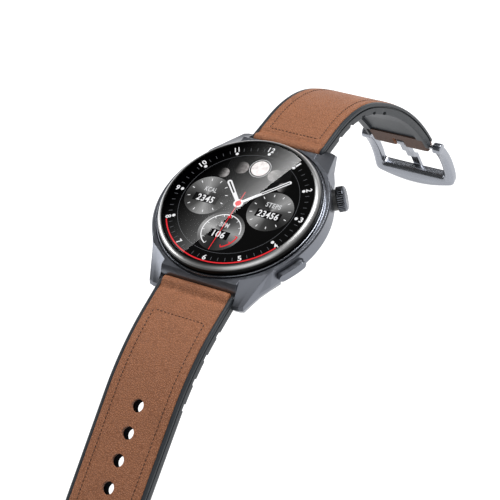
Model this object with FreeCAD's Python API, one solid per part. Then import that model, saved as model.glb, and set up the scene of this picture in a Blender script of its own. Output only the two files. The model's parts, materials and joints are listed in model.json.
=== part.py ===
import FreeCAD, Part
import math
import os
from FreeCAD import Placement, Rotation, Vector

# Round smartwatch on a leather-faced rubber strap. Millimetres, +Z out of the dial, +Y to 12 o'clock,
# +X to 3 o'clock. The origin is the centre of the sensor window's flat, which rests on the wrist.

# ---- overall ----
CASE_R = 24.0              # outer radius of the case wall
STRAP_WIDTH = 22.0         # at the lugs

# ---- mid case ----
CASE_TOP_Z = 8.4           # flat step around the bezel
CASE_BOTTOM_Z = 2.0
CASE_WALL_FOOT_Z = 3.9     # where the wall starts to turn in under the case
CASE_FOOT_R = CASE_R - 1.4
CASE_EDGE = 0.4            # chamfer at the top of the wall
CASE_BORE_R = CASE_R - 3.2
CASE_END_Y = CASE_R - 0.15 # flat ends between the lugs
CASE_END_SLOPE_Y = CASE_R - 1.6  # the ends start to slope down here
CASE_END_SLOPE_Z = 6.0     # and meet the upright part of the end here
BEZEL_POCKET_R = CASE_R - 1.1
BEZEL_POCKET_Z = 7.4
BACK_SEAT_Z = 2.9
BACK_RECESS_R = CASE_R - 2.2
LUG_GAP = STRAP_WIDTH + 0.6  # clear width between the lugs
LUG_ROOT_Y = CASE_R - 9.0
LUG_BOTTOM_Z = 2.2
LUG_TIP_Y = CASE_R + 2.9

# ---- strap, shared by both halves ----
BAR_Y = CASE_R + 1.6       # spring bar axis, from the middle of the case
BAR_Z = 4.0
BAR_BARREL_R = 0.75
BAR_WALL = 0.2
BAR_TIP_R = 0.4
BAR_TIP_CLEARANCE = 0.05
BAR_TIP_TRAVEL = 1.4
BAR_TIP_REACH = 1.1        # how far a tip stands into its lug
LEATHER = 0.9              # thickness of the leather face
RUBBER = 2.7               # thickness of the rubber base
LEATHER_INSET = 1.0        # rubber lip left beside the leather
EYE_R = 1.45               # rubber eye around the spring bar
EYE_CLEARANCE = 0.05
ROLL_BACK_ANGLE = 40.0     # the leather rolls back over the eye this far
PATH_RISE = LEATHER + RUBBER / 2
HOLE_R = 1.7
HOLE_PITCH = 7.1
GROOVE_WIDTH = 1.9
GROOVE_DEPTH = 0.9

# Each half follows runs of (length, turn in degrees) from the spring bar outwards.
UPPER_START_ANGLE = 8.3
UPPER_RUNS = [(7.9, 0.0), (23.6, 37.2), (47.7, 32.8)]
UPPER_END_WIDTH = STRAP_WIDTH - 1.4
UPPER_FIRST_GROOVE = 8.8
UPPER_GROOVES = 5
LOWER_START_ANGLE = 3.0
LOWER_RUNS = [(8.9, 0.0), (23.4, 20.2), (28.0, 0.0), (33.0, 64.0), (26.7, 0.0)]
LOWER_END_WIDTH = STRAP_WIDTH - 1.8
LOWER_TIP_R = STRAP_WIDTH / 2 + 1.0
LOWER_FIRST_HOLE = 33.4
LOWER_HOLES = 9
LOWER_FIRST_GROOVE = 8.8
LOWER_GROOVES = 4

# ---- buckle ----
PIN_R = 0.7
PIN_CLEARANCE = 0.05
LOOP_R = PIN_R + PIN_CLEARANCE + LEATHER
FLAP_LENGTH = 7.0          # leather folded back under the strap
FLAP_MARGIN = 1.2
PANEL_LENGTH = 16.0        # thinned panel before the flap
PANEL_MARGIN = 2.6
PANEL_DEPTH = 0.8
TONGUE_NOTCH = 3.8
TONGUE_NOTCH_DEPTH = 3.4
RUBBER_END_GAP = 2.6       # rubber stops this far short of the buckle pin
BUCKLE_ANGLE = 82.5        # direction of the buckle below the horizontal
BUCKLE_GAP = 0.4           # between strap edge and buckle arm
BUCKLE_ARM = 2.6
BUCKLE_THICKNESS = 2.4
BUCKLE_WINDOW = 15.5       # from the pin to the front bar
BUCKLE_FRONT = 3.2         # front bar at its ends
BUCKLE_BOW = 2.2           # extra depth of the front bar at its middle
BUCKLE_CAMBER_R = 32.0     # side view curve of the arms
BUCKLE_KNOB_R = 1.65
TONGUE_WIDTH = 2.4
TONGUE_THICKNESS = 1.0
TONGUE_HUB_R = 1.35
TONGUE_CLEARANCE = 0.1     # above the front bar it rests on

# ---- glass, bezel and display ----
GLASS_R = CASE_R - 2.1
GLASS_FLAT_R = GLASS_R - 1.8  # the top is flat inside this radius and rolls down outside it
GLASS_TOP_Z = 11.2
GLASS_EDGE_Z = 9.6
GLASS_SEAT_Z = 7.8
DISPLAY_R = GLASS_R - 1.7
GLASS_UNDER_Z = 9.8
DISPLAY_TOP_Z = 9.7        # clear adhesive fills the gap up to the glass
DISPLAY_THICKNESS = 0.8
BEZEL_GAP = 0.05
BEZEL_WIDTH = 0.5
BEZEL_TOP_Z = 8.8

# ---- crown and side button ----
CROWN_ANGLE = 30.0
CROWN_Z = 4.9
CROWN_R = 3.35
CROWN_BASE = CASE_R + 0.95 # distance of the crown's inner face from the dial's axis
CROWN_KNURL = 1.75
CROWN_CAP = 0.7
CROWN_FLUTES = 36
CROWN_TRAVEL = 0.5
STEM_R = 0.85
STEM_CLEARANCE = 0.05
TUBE_R = 1.5
PUSHER_R = 1.4
BUTTON_ANGLE = -30.0
BUTTON_Z = 5.8
BUTTON_LENGTH = 8.0
BUTTON_HEIGHT = 2.3
BUTTON_FACE_R = CASE_R + 1.5
BUTTON_FOOT = CASE_R - 1.0
BUTTON_CLEARANCE = 0.12
BUTTON_TRAVEL = 0.4
BUTTON_STEM_R = 0.8
STEM_IN = CASE_R - 6.4     # inner end of both stems
STEM_CLIP = CASE_R - 4.8   # clip that keeps each stem in
CLIP_WIDTH = 0.35
CLIP_R = 1.3
SEAL_GROOVE_R = 0.6        # bottom of the grooves in the stems
ORING_WIDTH = 0.5
CROWN_ORING_X = CASE_R - 2.0
BUTTON_ORING_X = CASE_R - 2.8
CROWN_BORE = 1.0           # how far the stem stands into the crown
PUSHER_PLATE = 0.6
PUSHER_SKIRT = 0.9

# ---- back ----
WINDOW_R = 12.9
WINDOW_FLAT_R = 9.0
WINDOW_FLANGE_R = 14.1
BACK_R = BACK_RECESS_R - 0.1
BACK_FACE_Z = 1.3
SCREW_CIRCLE = CASE_R - 4.7
SCREW_R = 0.7
SCREW_HEAD_R = 1.2
BOSS_R = 1.7
SEAL_RADII = (BACK_R - 0.7, BACK_R - 0.3)
SEAL_DEPTH = 0.5
SCREW_ANGLES = (57.0, 123.0, 237.0, 303.0)
FRAME_CLEARANCE = 0.4
BACK_SLOPE_R = BACK_R - 3.3     # the cover slopes up from here to its edge
CHARGE_RINGS = ((14.3, 15.5), (16.4, 17.6))
SCREW_FACE_Z = 1.75
SCREW_END_Z = 5.5

# ---- openings in the case wall ----
SPEAKER_SLOTS = 3
SPEAKER_SLOT_PITCH = 1.6
SPEAKER_SLOT_SIZE = 0.8
SPEAKER_Z = 5.6
MIC_ANGLE = -143.0
MIC_Z = 5.0
MIC_HOLE_R = 0.4

# ---- inner parts ----
BATTERY = (21.0, 19.0)
BATTERY_Y = 1.5
BATTERY_Z = (4.9, 8.3)
BOARD_Z = (3.5, 4.3)
BOARD_R = CASE_BORE_R - 0.9
MOTOR_Y = -13.6
MOTOR_R = 4.0
MOTOR_Z = (4.5, 7.3)
MOTOR_WALL = 0.3
ROTOR_R = 3.2
SPEAKER_X = (-16.8, -12.0)
SPEAKER_WIDTH = 9.0
FLEX_Y = 17.2
SWITCH_DEPTH = 1.8
SWITCH_WIDTH = 3.4
SWITCH_HEIGHT = 2.4
FRAME_Z = (4.4, 8.85)
FRAME_PLATE = 0.5
FRAME_WALL = 1.4


# ---- building blocks ----

def box(x0, x1, y0, y1, z0, z1):
    """Block between two corners."""
    return Part.makeBox(x1 - x0, y1 - y0, z1 - z0, Vector(x0, y0, z0))


def disc(radius, z0, z1, x=0.0, y=0.0):
    return Part.makeCylinder(radius, z1 - z0, Vector(x, y, z0))


def ring(inner, outer, z0, z1, x=0.0, y=0.0):
    return disc(outer, z0, z1, x, y).cut(disc(inner, z0 - 1, z1 + 1, x, y))


def rod_x(radius, x0, x1, y=0.0, z=0.0):
    """Cylinder along X."""
    return Part.makeCylinder(radius, x1 - x0, Vector(x0, y, z), Vector(1, 0, 0))


def tube_x(inner, outer, x0, x1, y=0.0, z=0.0):
    return rod_x(outer, x0, x1, y, z).cut(rod_x(inner, x0 - 1, x1 + 1, y, z))


def outline(points):
    """Closed wire; a point given as a pair of points is an arc through the first to the second."""
    edges = []
    last = points[0]
    for step in points[1:] + [points[0]]:
        if isinstance(step, tuple):
            edges.append(Part.Arc(last, step[0], step[1]).toShape())
            last = step[1]
        elif (step - last).Length > 1e-6:
            edges.append(Part.LineSegment(last, step).toShape())
            last = step
    return Part.Wire(edges)


def prism(points, along):
    return Part.Face(outline(points)).extrude(along)


def turned(points):
    """Solid of revolution about Z from (radius, height) points."""
    flat = []
    for p in points:
        if isinstance(p[0], tuple):
            flat.append((Vector(p[0][0], 0, p[0][1]), Vector(p[1][0], 0, p[1][1])))
        else:
            flat.append(Vector(p[0], 0, p[1]))
    return Part.Face(outline(flat)).revolve(Vector(0, 0, 0), Vector(0, 0, 1), 360)


def at_angle(shape, degrees):
    """Turns a shape built along +X to its place round the dial."""
    turned_shape = shape.copy()
    turned_shape.rotate(Vector(0, 0, 0), Vector(0, 0, 1), degrees)
    return turned_shape


def across(shape):
    """The same shape on the 6 o'clock side."""
    return at_angle(shape, 180)


def group(shapes):
    return Part.makeCompound(shapes)


def fuse(shapes):
    return shapes[0].multiFuse(shapes[1:]).removeSplitter()


# ---- strap path ----

class Path:
    """Side view of a strap half's top face: straight runs and tangent arcs, turning down from the bar."""

    def __init__(self, start_angle, runs):
        self.pieces = []
        angle = math.radians(start_angle)
        point = Vector(0, BAR_Y, BAR_Z) + self.normal(angle) * PATH_RISE
        s = 0.0
        for length, turn in runs:
            turn = math.radians(turn)
            self.pieces.append((s, length, turn, angle, point))
            point = self.along(point, angle, length, turn, length)
            angle += turn
            s += length
        self.length = s

    @staticmethod
    def tangent(angle):
        return Vector(0, math.cos(angle), -math.sin(angle))

    @staticmethod
    def normal(angle):
        return Vector(0, math.sin(angle), math.cos(angle))

    def along(self, point, angle, length, turn, distance):
        if not turn:
            return point + self.tangent(angle) * distance
        radius = length / turn
        centre = point - self.normal(angle) * radius
        return centre + self.normal(angle + turn * distance / length) * radius

    def piece_at(self, s):
        return [p for p in self.pieces if p[0] <= s + 1e-9][-1]

    def angle(self, s):
        start, length, turn, angle, _ = self.piece_at(s)
        return angle + turn * (s - start) / length

    def point(self, s, offset=0.0):
        """The point s along the top face, offset outwards from it."""
        start, length, turn, angle, point = self.piece_at(s)
        return self.along(point, angle, length, turn, s - start) + self.normal(self.angle(s)) * offset

    def side(self, s0, s1, offset):
        """Steps for outline() from s0 to s1 at one offset."""
        cuts = [s0] + [p[0] for p in self.pieces if min(s0, s1) < p[0] < max(s0, s1)] + [s1]
        cuts.sort(reverse=s1 < s0)
        steps = [self.point(s0, offset)]
        for a, b in zip(cuts, cuts[1:]):
            middle = (a + b) / 2
            if self.piece_at(middle)[2]:
                steps.append((self.point(middle, offset), self.point(b, offset)))
            else:
                steps.append(self.point(b, offset))
        return steps

    def band(self, s0, s1, top, bottom, half_width):
        """Solid between two offsets, from -half_width to half_width."""
        shift = Vector(-half_width, 0, 0)
        steps = self.side(s0, s1, top) + self.side(s1, s0, bottom)
        moved = [tuple(q + shift for q in p) if isinstance(p, tuple) else p + shift for p in steps]
        return prism(moved, Vector(2 * half_width, 0, 0))

    def place(self, shape, s, offset):
        """Puts a shape's own Y along the strap and its Z outwards."""
        placed = shape.copy()
        turn = Rotation(Vector(1, 0, 0), -math.degrees(self.angle(s)))
        placed.Placement = Placement(self.point(s, offset), turn)
        return placed


def taper(path, start_half, end_half):
    """Wedge that narrows evenly from the lugs to the end of a strap half."""
    diagonal = Vector(0, 1, -1).normalize()
    w0 = path.point(0).dot(diagonal)
    w1 = path.point(path.length).dot(diagonal)
    reach = 200.0
    corners = [Vector(start_half, w0 - reach, -reach), Vector(start_half, w0, -reach),
               Vector(end_half, w1, -reach), Vector(end_half, w1 + reach, -reach)]
    mirrored = [Vector(-c.x, c.y, c.z) for c in reversed(corners)]
    wedge = prism(corners + mirrored, Vector(0, 0, 2 * reach))
    wedge.rotate(Vector(0, 0, 0), Vector(1, 0, 0), -45)
    return wedge


def rounded_tip(path, radius, half_width):
    """What is cut away to round the free end of a strap half."""
    reach = 3 * RUBBER
    drop = math.sqrt(radius ** 2 - half_width ** 2)
    blank = box(-2 * half_width, 2 * half_width, -(radius - drop), 2 * reach, -reach, reach)
    keep = Part.makeCylinder(radius, 2 * reach, Vector(0, -radius, -reach))
    return path.place(blank.cut(keep), path.length, 0)


def strap_eye(path, half_width, radius):
    return rod_x(radius, -half_width, half_width, BAR_Y, BAR_Z)


def leather_roll(path, half_width):
    """Leather that rolls back over the eye, up to ROLL_BACK_ANGLE past the top."""
    angle = path.angle(0)
    centre = Vector(-half_width, BAR_Y, BAR_Z)

    def rim(radius, lean):
        return centre + path.normal(angle - math.radians(lean)) * radius

    outer = EYE_R + LEATHER
    lean = ROLL_BACK_ANGLE
    steps = [rim(EYE_R, 0), rim(outer, 0), (rim(outer, lean / 2), rim(outer, lean)),
             rim(EYE_R, lean), (rim(EYE_R, lean / 2), rim(EYE_R, 0))]
    return prism(steps, Vector(2 * half_width, 0, 0))


def grooves(path, first, count):
    """Cross grooves in the rubber's underside."""
    bar = box(-STRAP_WIDTH, STRAP_WIDTH, -GROOVE_WIDTH / 2, GROOVE_WIDTH / 2, -GROOVE_DEPTH, GROOVE_DEPTH)
    under = -(LEATHER + RUBBER)
    return group([path.place(bar, first + i * HOLE_PITCH, under) for i in range(count)])


def spring_bar(nodes, side, turn):
    """Hollow barrel, spring and two sprung tips at one end of the case."""
    half = STRAP_WIDTH / 2 - 0.4
    bore = BAR_BARREL_R - BAR_WALL
    shoulder = BAR_TIP_R + 0.1
    lug_face = LUG_GAP / 2
    tip_inner = half - 2.0
    spring_end = tip_inner - BAR_TIP_TRAVEL - 0.1
    nodes[side + "_bar_barrel"] = turn(tube_x(bore, BAR_BARREL_R, -half, half, BAR_Y, BAR_Z))
    nodes[side + "_bar_spring"] = turn(
        tube_x(bore - 0.3, bore - 0.05, -spring_end, spring_end, BAR_Y, BAR_Z))
    tip = fuse([rod_x(BAR_TIP_R, tip_inner, lug_face + BAR_TIP_REACH, BAR_Y, BAR_Z),
                rod_x(shoulder, tip_inner, tip_inner + 0.6, BAR_Y, BAR_Z)])
    other = tip.mirror(Vector(0, 0, 0), Vector(1, 0, 0))
    nodes[side + "_bar_tip_right"] = turn(tip) if side == "upper" else turn(other)
    nodes[side + "_bar_tip_left"] = turn(other) if side == "upper" else turn(tip)


# ---- straps ----

def upper_strap(nodes):
    path = Path(UPPER_START_ANGLE, UPPER_RUNS)
    half = STRAP_WIDTH / 2
    end_half = UPPER_END_WIDTH / 2
    rubber_end = path.length - RUBBER_END_GAP
    flap_start = path.length - FLAP_LENGTH
    flap_bottom = -2 * LOOP_R
    flap_top = flap_bottom + LEATHER
    flap_half = end_half - FLAP_MARGIN
    under = -(LEATHER + RUBBER)

    rubber = path.band(0, rubber_end, -LEATHER, under, half)
    rubber = fuse([rubber, strap_eye(path, half, EYE_R)]).common(taper(path, half, end_half))
    rubber = rubber.cut(strap_eye(path, half + 1, BAR_BARREL_R + EYE_CLEARANCE))
    rubber = rubber.cut(path.band(flap_start - 0.3, path.length, flap_top, under - 1, flap_half + 0.2))
    rubber = rubber.cut(path.band(flap_start - PANEL_LENGTH, flap_start - 0.3, under + PANEL_DEPTH,
                                  under - 1, end_half - PANEL_MARGIN))
    rubber = rubber.cut(grooves(path, UPPER_FIRST_GROOVE, UPPER_GROOVES))

    notch = box(-TONGUE_NOTCH / 2, TONGUE_NOTCH / 2, -TONGUE_NOTCH_DEPTH, 2 * LOOP_R,
                -3 * LOOP_R, LOOP_R)
    notch = path.place(notch, path.length, 0)

    top = path.band(0, path.length, 0, -LEATHER, half)
    flap = path.band(flap_start, path.length, flap_top, flap_bottom, flap_half)
    loop = tube_x(PIN_R + PIN_CLEARANCE, LOOP_R, -end_half, end_half)
    loop = loop.common(box(-half, half, 0, 2 * LOOP_R, -2 * LOOP_R, 2 * LOOP_R))
    loop = path.place(loop, path.length, -LOOP_R)
    flap_side = taper(path, half - LEATHER_INSET, end_half - LEATHER_INSET)
    leather = fuse([top, leather_roll(path, half), loop]).common(flap_side)
    leather = fuse([leather, flap]).cut(group([notch, strap_eye(path, half, EYE_R)]))

    nodes["upper_rubber_base"] = rubber.cut(notch)
    nodes["upper_leather_face"] = leather
    spring_bar(nodes, "upper", lambda shape: shape)
    return path


def lower_strap(nodes):
    path = Path(LOWER_START_ANGLE, LOWER_RUNS)
    half = STRAP_WIDTH / 2
    end_half = LOWER_END_WIDTH / 2
    under = -(LEATHER + RUBBER)

    rubber = fuse([path.band(0, path.length, -LEATHER, under, half), strap_eye(path, half, EYE_R)])
    rubber = rubber.common(taper(path, half, end_half))
    rubber = rubber.cut(strap_eye(path, half + 1, BAR_BARREL_R + EYE_CLEARANCE))
    rubber = rubber.cut(grooves(path, LOWER_FIRST_GROOVE, LOWER_GROOVES))
    rubber = rubber.cut(rounded_tip(path, LOWER_TIP_R, end_half))

    leather = fuse([path.band(0, path.length - LEATHER_INSET, 0, -LEATHER, half), leather_roll(path, half)])
    leather = leather.common(taper(path, half - LEATHER_INSET, end_half - LEATHER_INSET))
    leather_tip = rounded_tip(path, LOWER_TIP_R - LEATHER_INSET, end_half - LEATHER_INSET)
    leather_tip.translate(path.tangent(path.angle(path.length)) * -LEATHER_INSET)
    leather = leather.cut(group([leather_tip, strap_eye(path, half, EYE_R)]))

    drill = Part.makeCylinder(HOLE_R, 4 * RUBBER, Vector(0, 0, -3 * RUBBER))
    holes = group([path.place(drill, LOWER_FIRST_HOLE + i * HOLE_PITCH, 0) for i in range(LOWER_HOLES)])
    nodes["lower_rubber_base"] = across(rubber.cut(holes))
    nodes["lower_leather_face"] = across(leather.cut(holes))
    spring_bar(nodes, "lower", across)
    return path


# ---- buckle, built with Y along the buckle and Z outwards, then placed on the pin ----

def camber(y):
    """Height of the cambered centre line at a distance from the pin."""
    middle = (BUCKLE_WINDOW + BUCKLE_FRONT) / 2
    top = BUCKLE_CAMBER_R - math.sqrt(BUCKLE_CAMBER_R ** 2 - middle ** 2)
    return top - (BUCKLE_CAMBER_R - math.sqrt(BUCKLE_CAMBER_R ** 2 - (y - middle) ** 2))


def buckle(nodes, path):
    pin = path.point(path.length, -LOOP_R)
    turn = Rotation(Vector(1, 0, 0), -BUCKLE_ANGLE)

    def seat(shape):
        placed = shape.copy()
        placed.Placement = Placement(pin, turn)
        return placed

    inner = UPPER_END_WIDTH / 2 + BUCKLE_GAP
    outer = inner + BUCKLE_ARM
    flare = outer + 0.3
    front = BUCKLE_WINDOW + BUCKLE_FRONT
    tip = front + BUCKLE_BOW
    deep = 3 * BUCKLE_THICKNESS
    low = -deep
    plan = prism([Vector(-outer, 0, low), Vector(outer, 0, low), Vector(flare, BUCKLE_WINDOW, low),
                  Vector(flare - 0.8, front, low), (Vector(0, tip, low), Vector(-flare + 0.8, front, low)),
                  Vector(-flare, BUCKLE_WINDOW, low)], Vector(0, 0, 2 * deep))
    window = box(-inner, inner, -1, BUCKLE_WINDOW, low, deep)
    half_t = BUCKLE_THICKNESS / 2
    ends = (0.0, front / 2, tip)
    upper_edge = [Vector(-2 * outer, y, camber(y) + half_t) for y in ends]
    lower_edge = [Vector(-2 * outer, y, camber(y) - half_t) for y in ends]
    profile = prism([upper_edge[0], (upper_edge[1], upper_edge[2]), lower_edge[2],
                     (lower_edge[1], lower_edge[0])], Vector(4 * outer, 0, 0))
    bow = plan.cut(window).common(profile)
    knobs = [rod_x(BUCKLE_KNOB_R, inner, outer), rod_x(BUCKLE_KNOB_R, -outer, -inner)]
    frame = fuse([bow] + knobs).cut(rod_x(PIN_R, -outer + 0.5, outer - 0.5))
    rest_z = camber(BUCKLE_WINDOW) + half_t + TONGUE_CLEARANCE
    nodes["buckle_frame"] = seat(frame)
    nodes["buckle_pin"] = seat(rod_x(PIN_R, -outer + 0.5, outer - 0.5))

    # tongue: hub on the pin, a step up over the strap's end, then flat over the front bar
    t = TONGUE_THICKNESS
    x0 = -TONGUE_WIDTH / 2
    knee = BUCKLE_WINDOW * 0.35
    step = BUCKLE_WINDOW * 0.55
    mid_z = (rest_z - 0.4) / 2
    under = [(0.6, -t / 2), (knee, -t / 2 + 0.2), (knee + 1.2, mid_z - t / 2 + 0.4), (step + 1.5, mid_z),
             (step + 3.0, rest_z), (front - 0.2, rest_z)]
    over = [(front - 0.2, rest_z + t * 0.7), (front - 1.2, rest_z + t), (step + 2.2, rest_z + t),
            (step + 0.7, mid_z + t), (knee + 0.6, mid_z + t * 0.7), (knee - 0.8, t / 2 + 0.2), (0.6, t / 2)]
    shank = prism([Vector(x0, y, z) for y, z in under + over], Vector(TONGUE_WIDTH, 0, 0))
    hub = rod_x(TONGUE_HUB_R, x0, -x0)
    nodes["buckle_tongue"] = seat(fuse([shank, hub]).cut(rod_x(PIN_R + PIN_CLEARANCE, x0 - 1, 1 - x0)))
    return pin


# ---- case ----

def lug():
    """One lug at the upper right: a sloped horn lofted through four levels."""
    x = LUG_GAP / 2
    tip = LUG_TIP_Y
    root = LUG_ROOT_Y
    side, end = root + 3.0, tip - 5.8
    levels = [
        (LUG_BOTTOM_Z,
         [(x, tip - 0.7), (x + 1.4, tip - 0.8), (x + 2.4, tip - 1.1), (x + 4.1, end - 0.5),
          (x + 5.5, side - 0.1), (x + 7.2, root)]),
        (LUG_BOTTOM_Z + 1.6,
         [(x, tip), (x + 1.6, tip - 0.1), (x + 2.9, tip - 0.5), (x + 4.8, end - 0.1), (x + 6.5, side),
          (x + 7.8, root)]),
        (LUG_BOTTOM_Z + 2.7,
         [(x, tip - 0.5), (x + 1.6, tip - 0.6), (x + 2.9, tip - 1.0), (x + 4.8, end), (x + 6.6, side + 0.2),
          (x + 7.8, root)]),
        (CASE_TOP_Z,
         [(x, root + 5.8), (x + 3.9, root + 3.2), (x + 6.0, root + 1.8), (x + 6.6, root + 1.0),
          (x + 6.9, root + 0.6), (x + 7.2, root)]),
    ]
    wires = []
    for z, corners in levels:
        points = [Vector(x - 2.0, root, z), Vector(x - 2.0, corners[0][1], z)]
        points += [Vector(px, py, z) for px, py in corners]
        wires.append(Part.makePolygon(points + points[:1]))
    horn = Part.makeLoft(wires, True, True)
    return horn.cut(box(x - 3.0, x, root - 1, LUG_TIP_Y + 1, 0, CASE_TOP_Z + 1))


def mid_case():
    wall = turned([(CASE_BORE_R, CASE_BOTTOM_Z), (CASE_FOOT_R, CASE_BOTTOM_Z), (CASE_R, CASE_WALL_FOOT_Z),
                   (CASE_R, CASE_TOP_Z - CASE_EDGE), (CASE_R - CASE_EDGE, CASE_TOP_Z),
                   (CASE_BORE_R, CASE_TOP_Z)])
    half = LUG_GAP / 2
    end = prism([Vector(-half, y, z) for y, z in (
        (LUG_ROOT_Y, LUG_BOTTOM_Z), (CASE_FOOT_R, LUG_BOTTOM_Z), (CASE_END_Y, CASE_WALL_FOOT_Z),
        (CASE_END_Y, CASE_TOP_Z), (LUG_ROOT_Y, CASE_TOP_Z))], Vector(2 * half, 0, 0))
    slope_mid = Vector(-half, CASE_END_Y - 0.55, (CASE_END_SLOPE_Z + CASE_TOP_Z) / 2 + 0.12)
    corners = [Vector(-half, y, z) for y, z in (
        (CASE_END_SLOPE_Y, CASE_TOP_Z), (CASE_END_SLOPE_Y, CASE_TOP_Z + 1), (CASE_END_Y + 1, CASE_TOP_Z + 1),
        (CASE_END_Y + 1, CASE_END_SLOPE_Z), (CASE_END_Y, CASE_END_SLOPE_Z))]
    above = prism(corners + [(slope_mid, corners[0])], Vector(2 * half, 0, 0))
    right = lug()
    left = right.mirror(Vector(0, 0, 0), Vector(1, 0, 0))
    trimmed = wall
    for y in (CASE_END_Y, -CASE_END_Y - 5):
        trimmed = trimmed.cut(box(-half, half, y, y + 5, 0, CASE_TOP_Z + 1))
    body = fuse([fuse([trimmed, end, across(end)]).cut(group([above, across(above)])),
                 right, left, across(right), across(left)])
    body = body.cut(disc(CASE_BORE_R, 0, CASE_TOP_Z + 1))
    body = body.cut(disc(BEZEL_POCKET_R, BEZEL_POCKET_Z, CASE_TOP_Z + 1))
    body = body.cut(disc(BACK_RECESS_R, 0, BACK_SEAT_Z))

    bosses = [at_angle(disc(BOSS_R, BACK_SEAT_Z, 6.5, SCREW_CIRCLE, 0), a) for a in SCREW_ANGLES]
    drills = [at_angle(disc(SCREW_R, 0, SCREW_END_Z + 0.1, SCREW_CIRCLE, 0), a) for a in SCREW_ANGLES]
    body = fuse([body] + bosses).cut(group(drills))

    body = body.cut(at_angle(rod_x(TUBE_R, 15, 30, 0, CROWN_Z), CROWN_ANGLE))
    pocket = pill(BUTTON_LENGTH + 2 * BUTTON_CLEARANCE, BUTTON_HEIGHT + 2 * BUTTON_CLEARANCE,
                  BUTTON_FOOT - BUTTON_TRAVEL - BUTTON_CLEARANCE, CASE_R + 5)
    stem_hole = rod_x(BUTTON_STEM_R + STEM_CLEARANCE, 15, CASE_R, 0, BUTTON_Z)
    body = body.cut(at_angle(fuse([pocket, stem_hole]), BUTTON_ANGLE))
    for x_side in (1, -1):
        for y_side in (1, -1):
            start = x_side * LUG_GAP / 2
            end_x = x_side * (LUG_GAP / 2 + BAR_TIP_REACH + 0.3)
            hole = rod_x(BAR_TIP_R + BAR_TIP_CLEARANCE, min(start, end_x), max(start, end_x),
                         y_side * BAR_Y, BAR_Z)
            body = body.cut(hole)
    half_slot = SPEAKER_SLOT_SIZE / 2
    for i in range(SPEAKER_SLOTS):
        y = (i - (SPEAKER_SLOTS - 1) / 2) * SPEAKER_SLOT_PITCH
        body = body.cut(box(-CASE_R - 1, -CASE_BORE_R + 1, y - half_slot, y + half_slot,
                            SPEAKER_Z - half_slot, SPEAKER_Z + half_slot))
    return body.cut(at_angle(rod_x(MIC_HOLE_R, CASE_BORE_R - 1, CASE_R + 1, 0, MIC_Z), MIC_ANGLE))


def pill(length, height, x0, x1):
    """Rounded bar from x0 to x1 outwards, length round the case, height along Z."""
    r = height / 2
    flat = length / 2 - r
    z = BUTTON_Z
    steps = [Vector(x0, -flat, z - r), Vector(x0, flat, z - r),
             (Vector(x0, flat + r, z), Vector(x0, flat, z + r)), Vector(x0, -flat, z + r),
             (Vector(x0, -flat - r, z), Vector(x0, -flat, z - r))]
    return prism(steps, Vector(x1 - x0, 0, 0))


def glass_and_bezel(nodes):
    reach = GLASS_R - GLASS_FLAT_R
    fall = GLASS_TOP_Z - GLASS_EDGE_Z
    roll_r = (reach ** 2 + fall ** 2) / (2 * fall)
    half_turn = math.asin(reach / roll_r) / 2
    roll_mid = (GLASS_FLAT_R + roll_r * math.sin(half_turn), GLASS_TOP_Z - roll_r * (1 - math.cos(half_turn)))
    nodes["cover_glass"] = turned([
        (0, GLASS_UNDER_Z), (DISPLAY_R + 0.1, GLASS_UNDER_Z), (DISPLAY_R + 0.1, GLASS_SEAT_Z),
        (GLASS_R, GLASS_SEAT_Z), (GLASS_R, GLASS_EDGE_Z), (roll_mid, (GLASS_FLAT_R, GLASS_TOP_Z)),
        (0, GLASS_TOP_Z)])
    bezel_in = GLASS_R + BEZEL_GAP
    nodes["bezel_ring"] = turned([
        (bezel_in, BEZEL_POCKET_Z), (BEZEL_POCKET_R - BEZEL_GAP, BEZEL_POCKET_Z),
        (BEZEL_POCKET_R - BEZEL_GAP, BEZEL_POCKET_Z + 0.5), (bezel_in + BEZEL_WIDTH, BEZEL_POCKET_Z + 0.5),
        (bezel_in + BEZEL_WIDTH, BEZEL_TOP_Z - 0.15), (bezel_in + BEZEL_WIDTH - 0.15, BEZEL_TOP_Z),
        (bezel_in, BEZEL_TOP_Z)])
    nodes["glass_gasket"] = ring(CASE_BORE_R + 0.1, GLASS_R - 0.1, BEZEL_POCKET_Z, GLASS_SEAT_Z)
    nodes["display_panel"] = disc(DISPLAY_R, DISPLAY_TOP_Z - DISPLAY_THICKNESS, DISPLAY_TOP_Z)


# ---- inner parts ----


def screw(z_head, z_end):
    head_height = 0.8
    head = Part.makeCone(SCREW_HEAD_R, SCREW_R, head_height, Vector(SCREW_CIRCLE, 0, z_head))
    shank = disc(SCREW_R, z_head + head_height, z_end, SCREW_CIRCLE, 0)
    slot = box(SCREW_CIRCLE - 0.8, SCREW_CIRCLE + 0.8, -0.15, 0.15, z_head - 0.1, z_head + 0.3)
    return fuse([head, shank]).cut(slot)


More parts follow.
